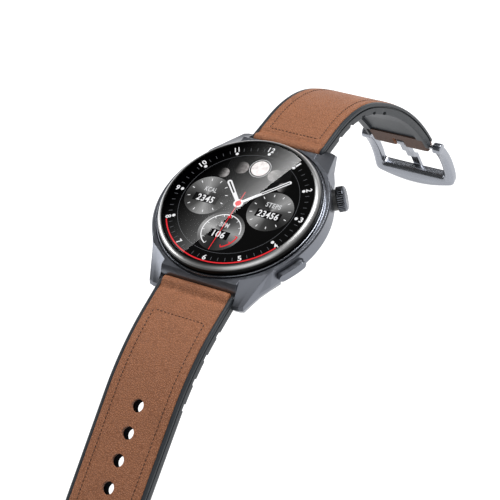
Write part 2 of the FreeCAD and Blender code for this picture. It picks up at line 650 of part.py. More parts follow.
def back(nodes):
    cover = turned([(WINDOW_R, BACK_FACE_Z), (BACK_SLOPE_R, BACK_FACE_Z), (BACK_R, CASE_BOTTOM_Z - 0.1),
                    (BACK_R, BACK_SEAT_Z), (WINDOW_FLANGE_R + 0.1, BACK_SEAT_Z),
                    (WINDOW_FLANGE_R + 0.1, 2.1), (WINDOW_R, 2.1)])
    head = Part.makeCone(SCREW_HEAD_R, SCREW_R, 0.8, Vector(SCREW_CIRCLE, 0, SCREW_FACE_Z))
    sink = fuse([head, disc(SCREW_R, SCREW_FACE_Z, BACK_SEAT_Z + 1, SCREW_CIRCLE, 0),
                 disc(SCREW_HEAD_R, 0, SCREW_FACE_Z, SCREW_CIRCLE, 0)])
    cover = cover.cut(group([at_angle(sink, a) for a in SCREW_ANGLES]))
    cover = cover.cut(group([ring(a, b, BACK_FACE_Z - 1, BACK_FACE_Z + 0.5) for a, b in CHARGE_RINGS]))
    nodes["charge_ring_inner"] = ring(*CHARGE_RINGS[0], BACK_FACE_Z - 0.1, BACK_FACE_Z + 0.5)
    nodes["charge_ring_outer"] = ring(*CHARGE_RINGS[1], BACK_FACE_Z - 0.1, BACK_FACE_Z + 0.5)
    cover = cover.cut(ring(*SEAL_RADII, BACK_SEAT_Z - SEAL_DEPTH, BACK_SEAT_Z + 1))
    nodes["back_cover"] = cover
    nodes["back_screws"] = group([at_angle(screw(SCREW_FACE_Z, SCREW_END_Z), a) for a in SCREW_ANGLES])
    nodes["back_seal"] = ring(*SEAL_RADII, BACK_SEAT_Z - SEAL_DEPTH, BACK_SEAT_Z)
    nodes["sensor_window"] = turned([
        (0, 0), (WINDOW_FLAT_R, 0), ((11.6, 0.3), (WINDOW_R, BACK_FACE_Z)), (WINDOW_R, 2.1),
        (WINDOW_FLANGE_R, 2.1), (WINDOW_FLANGE_R, 2.6), (11.8, 2.6), (11.8, 1.0), (0, 1.0)])
    nodes["sensor_board"] = disc(11.6, 1.9, 2.5)
    nodes["sensor_leds"] = group(
        [at_angle(box(2.2, 3.6, -0.7, 0.7, 1.15, 1.9), a) for a in (0, 90, 180, 270)])
    nodes["sensor_photodiodes"] = group(
        [at_angle(box(6.0, 8.2, -1.1, 1.1, 1.3, 1.9), a) for a in (45, 135, 225, 315)])
    nodes["charge_magnets"] = group([disc(1.8, BACK_SEAT_Z, BACK_SEAT_Z + 0.55, x, 0) for x in (-16.6, 16.6)])


def switch(angle, face, z):
    """Tactile switch with its plunger towards the stem."""
    body = box(face - 0.5 - SWITCH_DEPTH, face - 0.5, -SWITCH_WIDTH / 2, SWITCH_WIDTH / 2,
               z - SWITCH_HEIGHT / 2, z + SWITCH_HEIGHT / 2)
    return at_angle(fuse([body, rod_x(0.5, face - 0.5, face, 0, z)]), angle)


def crown(nodes):
    base, tip = CROWN_BASE, CROWN_BASE + CROWN_KNURL + CROWN_CAP
    knurl_end = CROWN_BASE + CROWN_KNURL
    head = turned([(0, base), (CROWN_R - 0.15, base), (CROWN_R, base + 0.15), (CROWN_R, knurl_end - 0.1),
                   (CROWN_R - 0.12, knurl_end), (CROWN_R - 0.12, knurl_end + 0.1),
                   (CROWN_R - 0.45, tip), (0, tip)])
    flute = Part.makeCylinder(0.17, CROWN_KNURL + 0.1, Vector(CROWN_R + 0.02, 0, base - 0.1))
    flutes = []
    for i in range(CROWN_FLUTES):
        cut = flute.copy()
        cut.rotate(Vector(0, 0, 0), Vector(0, 0, 1), 360.0 * i / CROWN_FLUTES)
        flutes.append(cut)
    head = head.cut(group(flutes))
    bore = turned([(0, base - 1), (STEM_R, base - 1), (STEM_R, base + CROWN_BORE), (0, base + CROWN_BORE)])
    head = head.cut(bore)
    head.rotate(Vector(0, 0, 0), Vector(0, 1, 0), 90)
    head.translate(Vector(0, 0, CROWN_Z))
    nodes["crown_knob"] = at_angle(head, CROWN_ANGLE)

    stem = rod_x(STEM_R, STEM_IN, base + CROWN_BORE, 0, CROWN_Z)
    seal = (CROWN_ORING_X, CROWN_ORING_X + ORING_WIDTH, 0, CROWN_Z)
    clip = (STEM_CLIP, STEM_CLIP + CLIP_WIDTH, 0, CROWN_Z)
    stem = stem.cut(tube_x(SEAL_GROOVE_R, 2.0, *seal)).cut(tube_x(SEAL_GROOVE_R, 2.0, *clip))
    nodes["crown_stem"] = at_angle(stem, CROWN_ANGLE)
    nodes["crown_oring"] = at_angle(tube_x(SEAL_GROOVE_R, STEM_R + 0.03, *seal), CROWN_ANGLE)
    nodes["crown_clip"] = at_angle(tube_x(SEAL_GROOVE_R, CLIP_R, *clip), CROWN_ANGLE)
    plate_out = STEM_IN - 0.1
    skirt = tube_x(STEM_R + STEM_CLEARANCE, PUSHER_R, plate_out, STEM_IN + PUSHER_SKIRT, 0, CROWN_Z)
    plate = rod_x(PUSHER_R, plate_out - PUSHER_PLATE, plate_out, 0, CROWN_Z)
    nodes["crown_pusher"] = at_angle(fuse([skirt, plate]), CROWN_ANGLE)
    nodes["crown_tube"] = at_angle(
        tube_x(STEM_R + STEM_CLEARANCE, TUBE_R, CASE_BORE_R - 0.6, CASE_R + 0.35, 0, CROWN_Z), CROWN_ANGLE)
    nodes["crown_switch"] = switch(
        CROWN_ANGLE, plate_out - PUSHER_PLATE - CROWN_TRAVEL - 0.1, CROWN_Z + 0.6)


def side_button(nodes):
    cap = pill(BUTTON_LENGTH, BUTTON_HEIGHT, BUTTON_FOOT, BUTTON_FACE_R + 1)
    face = disc(BUTTON_FACE_R, 0, 12)
    cap = cap.common(face)
    stem = rod_x(BUTTON_STEM_R, STEM_IN, BUTTON_FOOT, 0, BUTTON_Z)
    seal = (BUTTON_ORING_X, BUTTON_ORING_X + ORING_WIDTH, 0, BUTTON_Z)
    clip = (STEM_CLIP, STEM_CLIP + CLIP_WIDTH, 0, BUTTON_Z)
    stem = stem.cut(tube_x(SEAL_GROOVE_R, 2.0, *seal)).cut(tube_x(SEAL_GROOVE_R, 2.0, *clip))
    nodes["side_button_cap"] = at_angle(fuse([cap, stem]), BUTTON_ANGLE)
    nodes["side_button_oring"] = at_angle(
        tube_x(SEAL_GROOVE_R, BUTTON_STEM_R + 0.03, *seal), BUTTON_ANGLE)
    nodes["side_button_clip"] = at_angle(tube_x(SEAL_GROOVE_R, CLIP_R - 0.1, *clip), BUTTON_ANGLE)
    nodes["side_button_switch"] = switch(BUTTON_ANGLE, STEM_IN - BUTTON_TRAVEL - 0.1, BUTTON_Z)


def inner_parts(nodes):
    bx, by = BATTERY[0] / 2, BATTERY[1] / 2
    c = FRAME_CLEARANCE
    nodes["battery"] = box(-bx, bx, BATTERY_Y - by, BATTERY_Y + by, *BATTERY_Z)
    notches = [at_angle(disc(BOSS_R + c, 0, 12, SCREW_CIRCLE, 0), a) for a in SCREW_ANGLES]
    slot = box(-5.0 - c, 5.0 + c, FLEX_Y - c, FLEX_Y + 0.2 + c, 0, 12)
    stems = [at_angle(box(10, 25, -2.1, 2.1, 0, z + 1.9), a)
             for a, z in ((CROWN_ANGLE, CROWN_Z), (BUTTON_ANGLE, BUTTON_Z))]

    frame = disc(CASE_BORE_R - 0.6, *FRAME_Z)
    wall_r = CASE_BORE_R - 0.6 - FRAME_WALL
    frame = frame.cut(disc(wall_r, 0, FRAME_Z[1] - FRAME_PLATE))
    rail = box(-bx - c - 0.8, bx + c + 0.8, BATTERY_Y - by - c - 0.8, BATTERY_Y + by + c + 0.8,
               BATTERY_Z[0] + 0.8, FRAME_Z[1] - FRAME_PLATE)
    rail = rail.cut(box(-bx - c, bx + c, BATTERY_Y - by - c, BATTERY_Y + by + c, 0, 12))
    rail = rail.cut(box(-30, 30, BATTERY_Y - 5, BATTERY_Y + 5, 0, 12))
    frame = fuse([frame, rail]).cut(group(notches)).cut(slot).cut(group(stems))
    frame = frame.cut(disc(MOTOR_R + 0.2, 0, MOTOR_Z[1] + 0.2, 0, MOTOR_Y))
    frame = frame.cut(box(-25, SPEAKER_X[1] + 0.2, -SPEAKER_WIDTH / 2 - 0.2, SPEAKER_WIDTH / 2 + 0.2, 0, 8.2))
    frame = frame.cut(at_angle(box(15.5, 25, -2.0, 2.0, 0, 7.0), MIC_ANGLE))
    nodes["inner_frame"] = frame

    board = disc(BOARD_R, *BOARD_Z).cut(group(notches)).cut(group(stems))
    nodes["main_board"] = board
    nodes["processor_shield"] = box(-6.0, 6.0, -5.0, 5.0, 2.65, BOARD_Z[0])
    chips = ((-9, -6, 5, 5), (-2, -6, 4, 4), (4, -6, 4, 5), (-8, 2, 6, 4))
    nodes["board_chips"] = group([box(x, x + w, y, y + d, BOARD_Z[1], BOARD_Z[1] + 0.45)
                                  for x, y, w, d in chips])
    nodes["display_flex"] = box(-5.0, 5.0, FLEX_Y, FLEX_Y + 0.2, BOARD_Z[1],
                                DISPLAY_TOP_Z - DISPLAY_THICKNESS)
    can = disc(MOTOR_R, *MOTOR_Z, 0, MOTOR_Y)
    can = can.cut(disc(MOTOR_R - MOTOR_WALL, MOTOR_Z[0] + MOTOR_WALL, MOTOR_Z[1] - MOTOR_WALL, 0, MOTOR_Y))
    pivot = disc(0.35, MOTOR_Z[0] + 0.1, MOTOR_Z[1] - 0.1, 0, MOTOR_Y)
    nodes["motor_can"] = fuse([can, pivot])
    rotor = disc(ROTOR_R, MOTOR_Z[0] + 0.6, MOTOR_Z[1] - 0.6, 0, MOTOR_Y)
    rotor = rotor.cut(box(-5, 5, MOTOR_Y, MOTOR_Y + 5, 0, 12))
    rotor = fuse([rotor, disc(0.9, MOTOR_Z[0] + 0.6, MOTOR_Z[1] - 0.6, 0, MOTOR_Y)])
    nodes["motor_rotor"] = rotor.cut(disc(0.4, 0, 12, 0, MOTOR_Y))
    nodes["speaker"] = box(*SPEAKER_X, -SPEAKER_WIDTH / 2, SPEAKER_WIDTH / 2, BOARD_Z[1] + 0.1, 8.0)
    nodes["microphone"] = at_angle(box(16.0, 18.6, -1.5, 1.5, BOARD_Z[1], 5.6), MIC_ANGLE)


def build():
    nodes = {"mid_case": mid_case()}
    glass_and_bezel(nodes)
    inner_parts(nodes)
    back(nodes)
    crown(nodes)
    side_button(nodes)
    path = upper_strap(nodes)
    lower_strap(nodes)
    buckle(nodes, path)
    return nodes


os.makedirs("parts", exist_ok=True)
for name, shape in build().items():
    shape.exportStep("parts/" + name + ".step")
    print(f"{name:22s} valid {shape.isValid()} solids {len(shape.Solids)} volume {shape.Volume:9.2f}")
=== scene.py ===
"""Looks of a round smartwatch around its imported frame: straps, stitching, dial, glass, metal and stage."""
import json
import math

import bmesh
import bpy
import numpy as np
from mathutils import Matrix, Vector


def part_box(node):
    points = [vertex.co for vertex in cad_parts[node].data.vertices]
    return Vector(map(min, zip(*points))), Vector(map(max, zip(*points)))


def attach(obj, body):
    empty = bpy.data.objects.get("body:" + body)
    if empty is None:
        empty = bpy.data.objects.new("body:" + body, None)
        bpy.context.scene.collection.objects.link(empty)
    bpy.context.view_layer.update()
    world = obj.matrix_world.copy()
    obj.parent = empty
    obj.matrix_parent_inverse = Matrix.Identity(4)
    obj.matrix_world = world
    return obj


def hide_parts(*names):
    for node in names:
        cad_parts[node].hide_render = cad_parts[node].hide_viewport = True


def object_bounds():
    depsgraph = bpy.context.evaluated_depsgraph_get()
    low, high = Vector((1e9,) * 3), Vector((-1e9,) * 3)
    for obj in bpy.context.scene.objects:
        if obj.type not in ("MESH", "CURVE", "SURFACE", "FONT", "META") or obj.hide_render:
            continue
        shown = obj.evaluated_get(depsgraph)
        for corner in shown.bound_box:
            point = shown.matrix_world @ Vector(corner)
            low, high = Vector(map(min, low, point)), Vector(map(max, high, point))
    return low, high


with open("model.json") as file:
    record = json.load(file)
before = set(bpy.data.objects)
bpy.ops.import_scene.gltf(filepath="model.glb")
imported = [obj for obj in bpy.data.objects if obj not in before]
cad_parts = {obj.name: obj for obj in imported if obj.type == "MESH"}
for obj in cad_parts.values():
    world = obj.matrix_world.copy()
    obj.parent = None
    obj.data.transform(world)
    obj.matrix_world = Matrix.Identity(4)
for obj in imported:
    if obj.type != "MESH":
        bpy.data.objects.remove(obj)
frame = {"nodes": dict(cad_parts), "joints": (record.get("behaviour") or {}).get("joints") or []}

bl_info = {
    "name": "Smartwatch looks",
    "version": (1, 0, 0),
    "blender": (4, 5, 0),
    "location": "View3D > Sidebar > Smartwatch",
    "description": "Builds the straps, dial, glass, crown and buckle of a round smartwatch",
    "category": "Object",
}

CAD_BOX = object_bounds()
NODES = frame["nodes"]
JOINTS = {joint["name"]: joint for joint in frame["joints"]}
MM = 0.001
TAU = 2 * math.pi
DOUBLED = 0.5e-6             # metres within which two points are one
CRISP_ANGLE = 35.0
TURNED_STEPS = 256


def low(node):
    """Lowest corner of a node in millimetres."""
    return np.array(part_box(node)[0]) / MM


def high(node):
    """Highest corner of a node in millimetres."""
    return np.array(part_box(node)[1]) / MM


def hinge(name):
    """A joint's place in millimetres."""
    return np.array(JOINTS[name]["pos_m"]) / MM


# ---------------------------------------------------------------- settings

class StrapSettings(bpy.types.PropertyGroup):
    leather_colour: bpy.props.StringProperty(
        name="Leather", description="Tan leather, as hex", default="#9C694A")
    rubber_colour: bpy.props.StringProperty(
        name="Rubber", description="Grey rubber, as hex", default="#2B2F33")
    thread_colour: bpy.props.StringProperty(
        name="Thread", description="Waxed thread, as hex", default="#3A1E10")
    leather: bpy.props.FloatProperty(
        name="Leather thickness", description="Thickness of the leather face in mm", default=0.9)
    rubber: bpy.props.FloatProperty(
        name="Rubber thickness", description="Thickness of the rubber base in mm", default=2.7)
    inset: bpy.props.FloatProperty(
        name="Lip", description="Rubber lip left beside the leather, in mm", default=1.0)
    stitch_pitch: bpy.props.FloatProperty(
        name="Stitch pitch", description="Distance between stitches in mm", default=1.1)
    stitch_margin: bpy.props.FloatProperty(
        name="Stitch margin", description="Stitch line to leather edge in mm", default=2.3)


class DialSettings(bpy.types.PropertyGroup):
    white: bpy.props.StringProperty(name="White", description="Lit white, as hex", default="#F4F4F6")
    red: bpy.props.StringProperty(name="Red", description="Lit red, as hex", default="#F03038")
    grey: bpy.props.StringProperty(name="Grey", description="Dim marks, as hex", default="#6E7074")
    dot_circle: bpy.props.FloatProperty(
        name="Dot circle", description="Radius of the hour dots in mm", default=17.3)
    numeral_circle: bpy.props.FloatProperty(
        name="Numeral circle", description="Radius of the hour numerals in mm", default=18.75)
    subdial_radius: bpy.props.FloatProperty(
        name="Small dial", description="Radius of a small dial in mm", default=6.3)
    glow: bpy.props.FloatProperty(name="Glow", description="Strength of the lit marks", default=1.0)


class MetalSettings(bpy.types.PropertyGroup):
    case_colour: bpy.props.StringProperty(
        name="Case", description="Smoke grey plating, as hex", default="#75787F")
    buckle_colour: bpy.props.StringProperty(
        name="Buckle", description="Brushed steel, as hex", default="#92959C")
    crown_flutes: bpy.props.IntProperty(
        name="Crown flutes", description="Grooves round the crown", default=36)


class StageSettings(bpy.types.PropertyGroup):
    lens: bpy.props.FloatProperty(
        name="Lens", description="Focal length in mm on a 36 mm sensor", default=121.7)
    floor_colour: bpy.props.StringProperty(
        name="Floor", description="Pale floor, as hex", default="#8C8C8E")


def strap():
    return bpy.context.scene.watch_strap


def dial():
    return bpy.context.scene.watch_dial


def metal():
    return bpy.context.scene.watch_metal


# ---------------------------------------------------------------- mesh making

def new_piece(name, verts, faces):
    """An object at the origin, with a mesh from millimetre points."""
    mesh = bpy.data.meshes.new(name)
    mesh.from_pydata(np.asarray(verts) * MM, [], [tuple(f) for f in faces])
    piece = bpy.data.objects.new(name, mesh)
    bpy.context.scene.collection.objects.link(piece)
    return piece


def clean(piece):
    """Merges doubled points and turns every face outwards."""
    work = bmesh.new()
    work.from_mesh(piece.data)
    bmesh.ops.remove_doubles(work, verts=work.verts, dist=DOUBLED)
    bmesh.ops.dissolve_degenerate(work, edges=work.edges, dist=DOUBLED)
    bmesh.ops.recalc_face_normals(work, faces=work.faces)
    work.to_mesh(piece.data)
    work.free()


def make(name, verts, faces, material, body, smooth=CRISP_ANGLE):
    """A finished piece on a body; edges sharper than the smooth angle stay crisp."""
    piece = new_piece(name, verts, faces)
    piece.data.validate()
    piece.data.materials.append(material)
    clean(piece)
    piece.data.shade_smooth()
    piece.data.set_sharp_from_angle(angle=math.radians(smooth))
    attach(piece, body)
    return piece


def face_centres(piece):
    """Middle of each face, in millimetres."""
    centres = np.zeros(len(piece.data.polygons) * 3)
    piece.data.polygons.foreach_get("center", centres)
    return centres.reshape(-1, 3) / MM


def refinish(piece, material, chosen):
    """Gives the chosen faces a second material."""
    piece.data.materials.append(material)
    piece.data.polygons.foreach_set("material_index", chosen.astype(np.int32))


def grid_faces(rows, columns, close_rows=False, close_columns=False, start=0):
    """Quads of a grid of points stored row by row, joined round where a direction is closed."""
    r = np.arange(rows if close_rows else rows - 1)
    c = np.arange(columns if close_columns else columns - 1)
    r, c = np.meshgrid(r, c, indexing="ij")
    r1, c1 = (r + 1) % rows, (c + 1) % columns
    quads = np.stack([r * columns + c, r * columns + c1, r1 * columns + c1, r1 * columns + c], -1)
    return quads.reshape(-1, 4) + start


def tube_faces(rows, columns):
    """Closed rings joined along, with a face over the first and the last ring."""
    body = [tuple(q) for q in grid_faces(rows, columns, close_columns=True)]
    last = (rows - 1) * columns
    return body + [tuple(range(columns))[::-1], tuple(range(last, last + columns))]


def lathe(profile, steps):
    """Points of a profile of (radius, height) turned round Z: (r cos a, r sin a, z) at even angles a."""
    profile = np.asarray(profile, float)
    a = np.linspace(0, TAU, steps, endpoint=False)
    r, z = profile[:, 0][:, None], profile[:, 1][:, None]
    return np.stack([r * np.cos(a), r * np.sin(a), z + 0 * a], -1).reshape(-1, 3)


def turned(name, profile, material, smooth, ring=False):
    """A turned piece on the case. Both ends of its profile lie on the axis, or a ring's profile is closed."""
    faces = grid_faces(len(profile), TURNED_STEPS, close_rows=ring, close_columns=True)
    return make(name, lathe(profile, TURNED_STEPS), faces, material, "case", smooth)


def arc(cx, cy, radius, a0, a1, n):
    """Points of an arc from angle a0 to a1, in degrees."""
    a = np.radians(np.linspace(a0, a1, n))
    return np.stack([cx + radius * np.cos(a), cy + radius * np.sin(a)], -1)


def join_profile(*parts):
    """One outline from single points and runs of points."""
    return np.concatenate([np.atleast_2d(np.asarray(p, float)) for p in parts])


def smoothstep(x):
    """0 below 0, 1 above 1, and 3 x squared less 2 x cubed between."""
    x = np.clip(x, 0, 1)
    return x * x * (3 - 2 * x)


def pulse(x, start, end, edge):
    """1 between start and end, falling to 0 over edge on each side."""
    return smoothstep((x - start) / edge + 0.5) * smoothstep((end - x) / edge + 0.5)


def cut_with(piece, tool):
    """Boolean cut, applied."""
    bpy.context.view_layer.update()
    change = piece.modifiers.new("cut", "BOOLEAN")
    change.object = tool
    change.operation = "DIFFERENCE"
    change.solver = "EXACT"
    depsgraph = bpy.context.evaluated_depsgraph_get()
    mesh = bpy.data.meshes.new_from_object(piece.evaluated_get(depsgraph))
    piece.modifiers.clear()
    old = piece.data
    piece.data = mesh
    mesh.name = old.name
    bpy.data.meshes.remove(old)
    used = tool.data
    bpy.data.objects.remove(tool)
    bpy.data.meshes.remove(used)
    mesh.shade_smooth()
    mesh.set_sharp_from_angle(angle=math.radians(CRISP_ANGLE))


def cutter(name, verts, faces):
    """A helper solid that cut_with uses up."""
    tool = new_piece(name, verts, faces)
    clean(tool)
    return tool


# ---------------------------------------------------------------- materials

def colour(hex_text):
    """Linear RGBA of an sRGB hex value."""
    value = hex_text.lstrip("#")
    parts = np.array([int(value[i:i + 2], 16) for i in (0, 2, 4)]) / 255
    linear = np.where(parts <= 0.04045, parts / 12.92, ((parts + 0.055) / 1.055) ** 2.4)
    return (*[float(c) for c in linear], 1.0)


def feed(tree, node, inputs):
    """Gives each input of a node, by name or number, its link or its constant."""
    for socket, source in inputs.items():
        if isinstance(source, bpy.types.NodeSocket):
            tree.links.new(source, node.inputs[socket])
        else:
            node.inputs[socket].default_value = source


def add(tree, kind, inputs, stops=(), **settings):
    """Adds a node with its inputs and its properties; stops are a ramp's (position, colour) pairs."""
    node = tree.nodes.new(kind)
    for key, value in settings.items():
        setattr(node, key, value)
    feed(tree, node, inputs)
    while stops and len(node.color_ramp.elements) < len(stops):
        node.color_ramp.elements.new(0.5)
    for i, (position, value) in enumerate(stops):
        node.color_ramp.elements[i].position = position
        node.color_ramp.elements[i].color = value
    return node


def new_material(name):
    """A material's name, nodes and Principled surface, and the object coordinates that its patterns read."""
    material = bpy.data.materials.new(name)
    material.use_nodes = True
    tree = material.node_tree
    shader = tree.nodes["Principled BSDF"]
    where = tree.nodes.new("ShaderNodeTexCoord").outputs["Object"]
    return material, tree, shader, where


def grey(value):
    return (value, value, value, 1.0)


def shade(rgba, factor):
    """A colour made lighter or darker."""
    return tuple(min(1.0, c * factor) for c in rgba[:3]) + (1.0,)


def around(low_value, high_value):
    """Stops that spread two values over the middle of a noise's range."""
    return [(0.3, low_value), (0.7, high_value)]


def leather_material():
    """Smooth corrected-grain leather: fine pebbled grain, slow tone changes and a soft waxy sheen."""
    material, tree, shader, where = new_material("tan_corrected_grain_leather")
    base = colour(strap().leather_colour)
    # the hide's tone changes over about 9 mm
    cloud = add(tree, "ShaderNodeTexNoise", {"Vector": where, "Scale": 110.0, "Detail": 3.0, "Roughness": 0.6})
    tone = add(tree, "ShaderNodeValToRGB", {"Fac": cloud.outputs["Fac"]},
               around(shade(base, 0.95), shade(base, 1.05))).outputs["Color"]
    # grain cells of about 0.5 mm, a little coarser than the hide's own so that they show
    cells = add(tree, "ShaderNodeTexVoronoi", {"Vector": where, "Scale": 1900.0, "Randomness": 1.0},
                feature="DISTANCE_TO_EDGE")
    crease = add(tree, "ShaderNodeValToRGB", {"Fac": cells.outputs["Distance"]},
                 [(0.0, grey(0.0)), (0.22, grey(1.0))]).outputs["Color"]
    fine = add(tree, "ShaderNodeTexNoise", {"Vector": where, "Scale": 1700.0, "Detail": 4.0, "Roughness": 0.65})
    dark = add(tree, "ShaderNodeMixRGB", {"Fac": 1.0, "Color1": tone, "Color2": (0.6, 0.54, 0.5, 1.0)},
               blend_type="MULTIPLY")
    creased = add(tree, "ShaderNodeMixRGB", {"Fac": crease, "Color1": dark.outputs["Color"], "Color2": tone})
    mottle = add(tree, "ShaderNodeMixRGB", {"Fac": fine.outputs["Fac"], "Color1": creased.outputs["Color"],
                                            "Color2": (0.42, 0.40, 0.40, 1.0)}, blend_type="SOFT_LIGHT")
    height = add(tree, "ShaderNodeMath", {0: crease, 1: fine.outputs["Fac"]}, operation="ADD")
    bump = add(tree, "ShaderNodeBump", {"Height": height.outputs[0], "Strength": 0.55, "Distance": 0.00014})
    rough = add(tree, "ShaderNodeValToRGB", {"Fac": fine.outputs["Fac"]}, around(grey(0.5), grey(0.66)))
    feed(tree, shader, {"Base Color": mottle.outputs["Color"], "Normal": bump.outputs["Normal"],
                        "Roughness": rough.outputs["Color"], "IOR": 1.48, "Specular IOR Level": 0.3})
    return material


def raw_leather_material():
    """Dark brown leather lining, split side: duller and rougher than the face."""
    material, tree, shader, where = new_material("brown_split_leather_lining")
    # fibres of about 0.7 mm
    fine = add(tree, "ShaderNodeTexNoise", {"Vector": where, "Scale": 1500.0, "Detail": 5.0, "Roughness": 0.7})
    tone = add(tree, "ShaderNodeValToRGB", {"Fac": fine.outputs["Fac"]},
               around(colour("#3B2A22"), colour("#54392C")))
    bump = add(tree, "ShaderNodeBump", {"Height": fine.outputs["Fac"], "Strength": 0.4, "Distance": 0.0001})
    feed(tree, shader, {"Base Color": tone.outputs["Color"], "Normal": bump.outputs["Normal"], "Roughness": 0.75})
    return material


def rubber_material():
    """Moulded fluoro rubber: even satin grey with a very fine spark-eroded texture."""
    material, tree, shader, where = new_material("moulded_grey_rubber")
    base = colour(strap().rubber_colour)
    cloud = add(tree, "ShaderNodeTexNoise", {"Vector": where, "Scale": 160.0, "Detail": 2.0})
    tone = add(tree, "ShaderNodeValToRGB", {"Fac": cloud.outputs["Fac"]},
               around(shade(base, 0.92), shade(base, 1.08)))
    # mould texture with a grit of about 0.3 mm, coarser than the real one so that it shows
    grit = add(tree, "ShaderNodeTexNoise", {"Vector": where, "Scale": 3500.0, "Detail": 2.0})
    bump = add(tree, "ShaderNodeBump", {"Height": grit.outputs["Fac"], "Strength": 0.15, "Distance": 0.00006})
    feed(tree, shader, {"Base Color": tone.outputs["Color"], "Normal": bump.outputs["Normal"], "Roughness": 0.45,
                        "Specular IOR Level": 0.25})
    return material


def thread_material():
    """Twisted waxed polyester: dark brown with plies about 0.4 mm apart across each stitch."""
    material, tree, shader, where = new_material("waxed_polyester_thread")
    base = colour(strap().thread_colour)
    ply = add(tree, "ShaderNodeTexWave", {"Vector": where, "Scale": 900.0, "Distortion": 1.0},
              bands_direction="DIAGONAL")
    tone = add(tree, "ShaderNodeValToRGB", {"Fac": ply.outputs["Fac"]},
               [(0.2, shade(base, 0.6)), (0.8, shade(base, 1.4))])
    feed(tree, shader, {"Base Color": tone.outputs["Color"], "Roughness": 0.6})
    return material


def metal_material(name, hex_text, roughness, grain, direction=(1.0, 1.0, 40.0), edge=0.00012):
    """Solid or plated steel: fine brushing along one direction, with edges broken by a small radius."""
    material, tree, shader, where = new_material(name)
    base = colour(hex_text)
    stretch = add(tree, "ShaderNodeMapping", {"Vector": where, "Scale": direction})
    # brushing lines 0.03 mm apart on the case, and up to 0.5 mm on the buckle, where finer ones wouldn't show
    lines = add(tree, "ShaderNodeTexNoise", {"Vector": stretch.outputs["Vector"], "Scale": grain, "Detail": 3.0,
                                             "Roughness": 0.6}).outputs["Fac"]
    tone = add(tree, "ShaderNodeValToRGB", {"Fac": lines}, around(shade(base, 0.94), shade(base, 1.05)))
    rough = add(tree, "ShaderNodeValToRGB", {"Fac": lines}, around(grey(roughness * 0.85), grey(roughness * 1.2)))
    soft = add(tree, "ShaderNodeBevel", {"Radius": edge}, samples=6)
    bump = add(tree, "ShaderNodeBump", {"Height": lines, "Normal": soft.outputs["Normal"], "Strength": 0.06,
                                        "Distance": 0.00002})
    feed(tree, shader, {"Base Color": tone.outputs["Color"], "Roughness": rough.outputs["Color"],
                        "Normal": bump.outputs["Normal"], "Metallic": 1.0})
    return material


def plain_material(name, hex_text, roughness, metallic=0.0, scale=900.0, vary=0.12):
    """Moulded or stamped small part: one colour with a slight mottle, about 1 mm across unless a scale says
    otherwise, and a faint surface texture."""
    material, tree, shader, where = new_material(name)
    base = colour(hex_text)
    noise = add(tree, "ShaderNodeTexNoise", {"Vector": where, "Scale": scale, "Detail": 2.0}).outputs["Fac"]
    tone = add(tree, "ShaderNodeValToRGB", {"Fac": noise}, around(shade(base, 1 - vary), shade(base, 1 + vary)))
    bump = add(tree, "ShaderNodeBump", {"Height": noise, "Strength": 0.1, "Distance": 0.00003})
    feed(tree, shader, {"Base Color": tone.outputs["Color"], "Normal": bump.outputs["Normal"],
                        "Roughness": roughness, "Metallic": metallic})
    return material


def glass_material():
    """Hardened cover glass, polished: clear, with the reflections of plain glass."""
    material, tree, shader, where = new_material("hardened_cover_glass")
    # a trace of polishing haze, far too faint to frost it
    haze = add(tree, "ShaderNodeTexNoise", {"Vector": where, "Scale": 60.0})
    rough = add(tree, "ShaderNodeValToRGB", {"Fac": haze.outputs["Fac"]}, around(grey(0.0), grey(0.004)))
    feed(tree, shader, {"Roughness": rough.outputs["Color"], "Base Color": grey(1.0), "Transmission Weight": 1.0,
                        "IOR": 1.5})
    return material


# black, and bonded to the glass so that it doesn't shine
UNLIT_PANEL = {"Base Color": (0.0, 0.0, 0.0, 1.0), "Specular IOR Level": 0.0, "Roughness": 1.0}


def ink_material():
    """Opaque black ink behind the border of the glass, with a faint pigment mottle of about 0.5 mm."""
    material, tree, shader, where = new_material("black_border_ink")
    pigment = add(tree, "ShaderNodeTexNoise", {"Vector": where, "Scale": 2000.0})
    tone = add(tree, "ShaderNodeValToRGB", {"Fac": pigment.outputs["Fac"]}, around(grey(0.0005), grey(0.001)))
    feed(tree, shader, {**UNLIT_PANEL, "Base Color": tone.outputs["Color"]})
    return material


def edge_material():
    """Polished roll at the rim of the glass, silvered beneath: its colour climbs from black to silver with the
    distance from the axis, then drops to black at the outer edge as painted shade of the gap beside the bezel."""
    material, tree, shader, where = new_material("silvered_rim_with_gap_shade")
    split = add(tree, "ShaderNodeSeparateXYZ", {"Vector": where})
    flat = add(tree, "ShaderNodeCombineXYZ", {"X": split.outputs["X"], "Y": split.outputs["Y"]})
    reach = add(tree, "ShaderNodeVectorMath", {0: flat.outputs["Vector"]}, operation="LENGTH")
    place = add(tree, "ShaderNodeMapRange", {"Value": reach.outputs["Value"], "From Min": EDGE_START * MM,
                                             "From Max": float(high("cover_glass")[0]) * MM})
    # black over the ink beneath, silver across the roll, and a black last stop that is painted shade of the gap
    # beside the bezel
    silver = add(tree, "ShaderNodeValToRGB", {"Fac": place.outputs["Result"]}, [
        (0.0, grey(0.0)), (0.08, grey(0.02)), (0.38, grey(0.22)), (0.66, grey(0.78)), (0.92, grey(0.01))])
    feed(tree, shader, {"Base Color": silver.outputs["Color"], "Metallic": 1.0, "Roughness": 0.34})
    return material


def lit_material(name, hex_text, strength=1.0):
    """Lit part of the display: black panel that glows in one colour, broken up by the fine grid of its dots."""
    material, tree, shader, where = new_material(name)
    base = colour(hex_text)
    # display pitch of 0.08 mm
    grid = add(tree, "ShaderNodeTexChecker", {"Vector": where, "Scale": 12500.0, "Color1": shade(base, 0.94),
                                              "Color2": base})
    feed(tree, shader, {**UNLIT_PANEL, "Emission Color": grid.outputs["Color"],
                        "Emission Strength": strength * dial().glow})
    return material


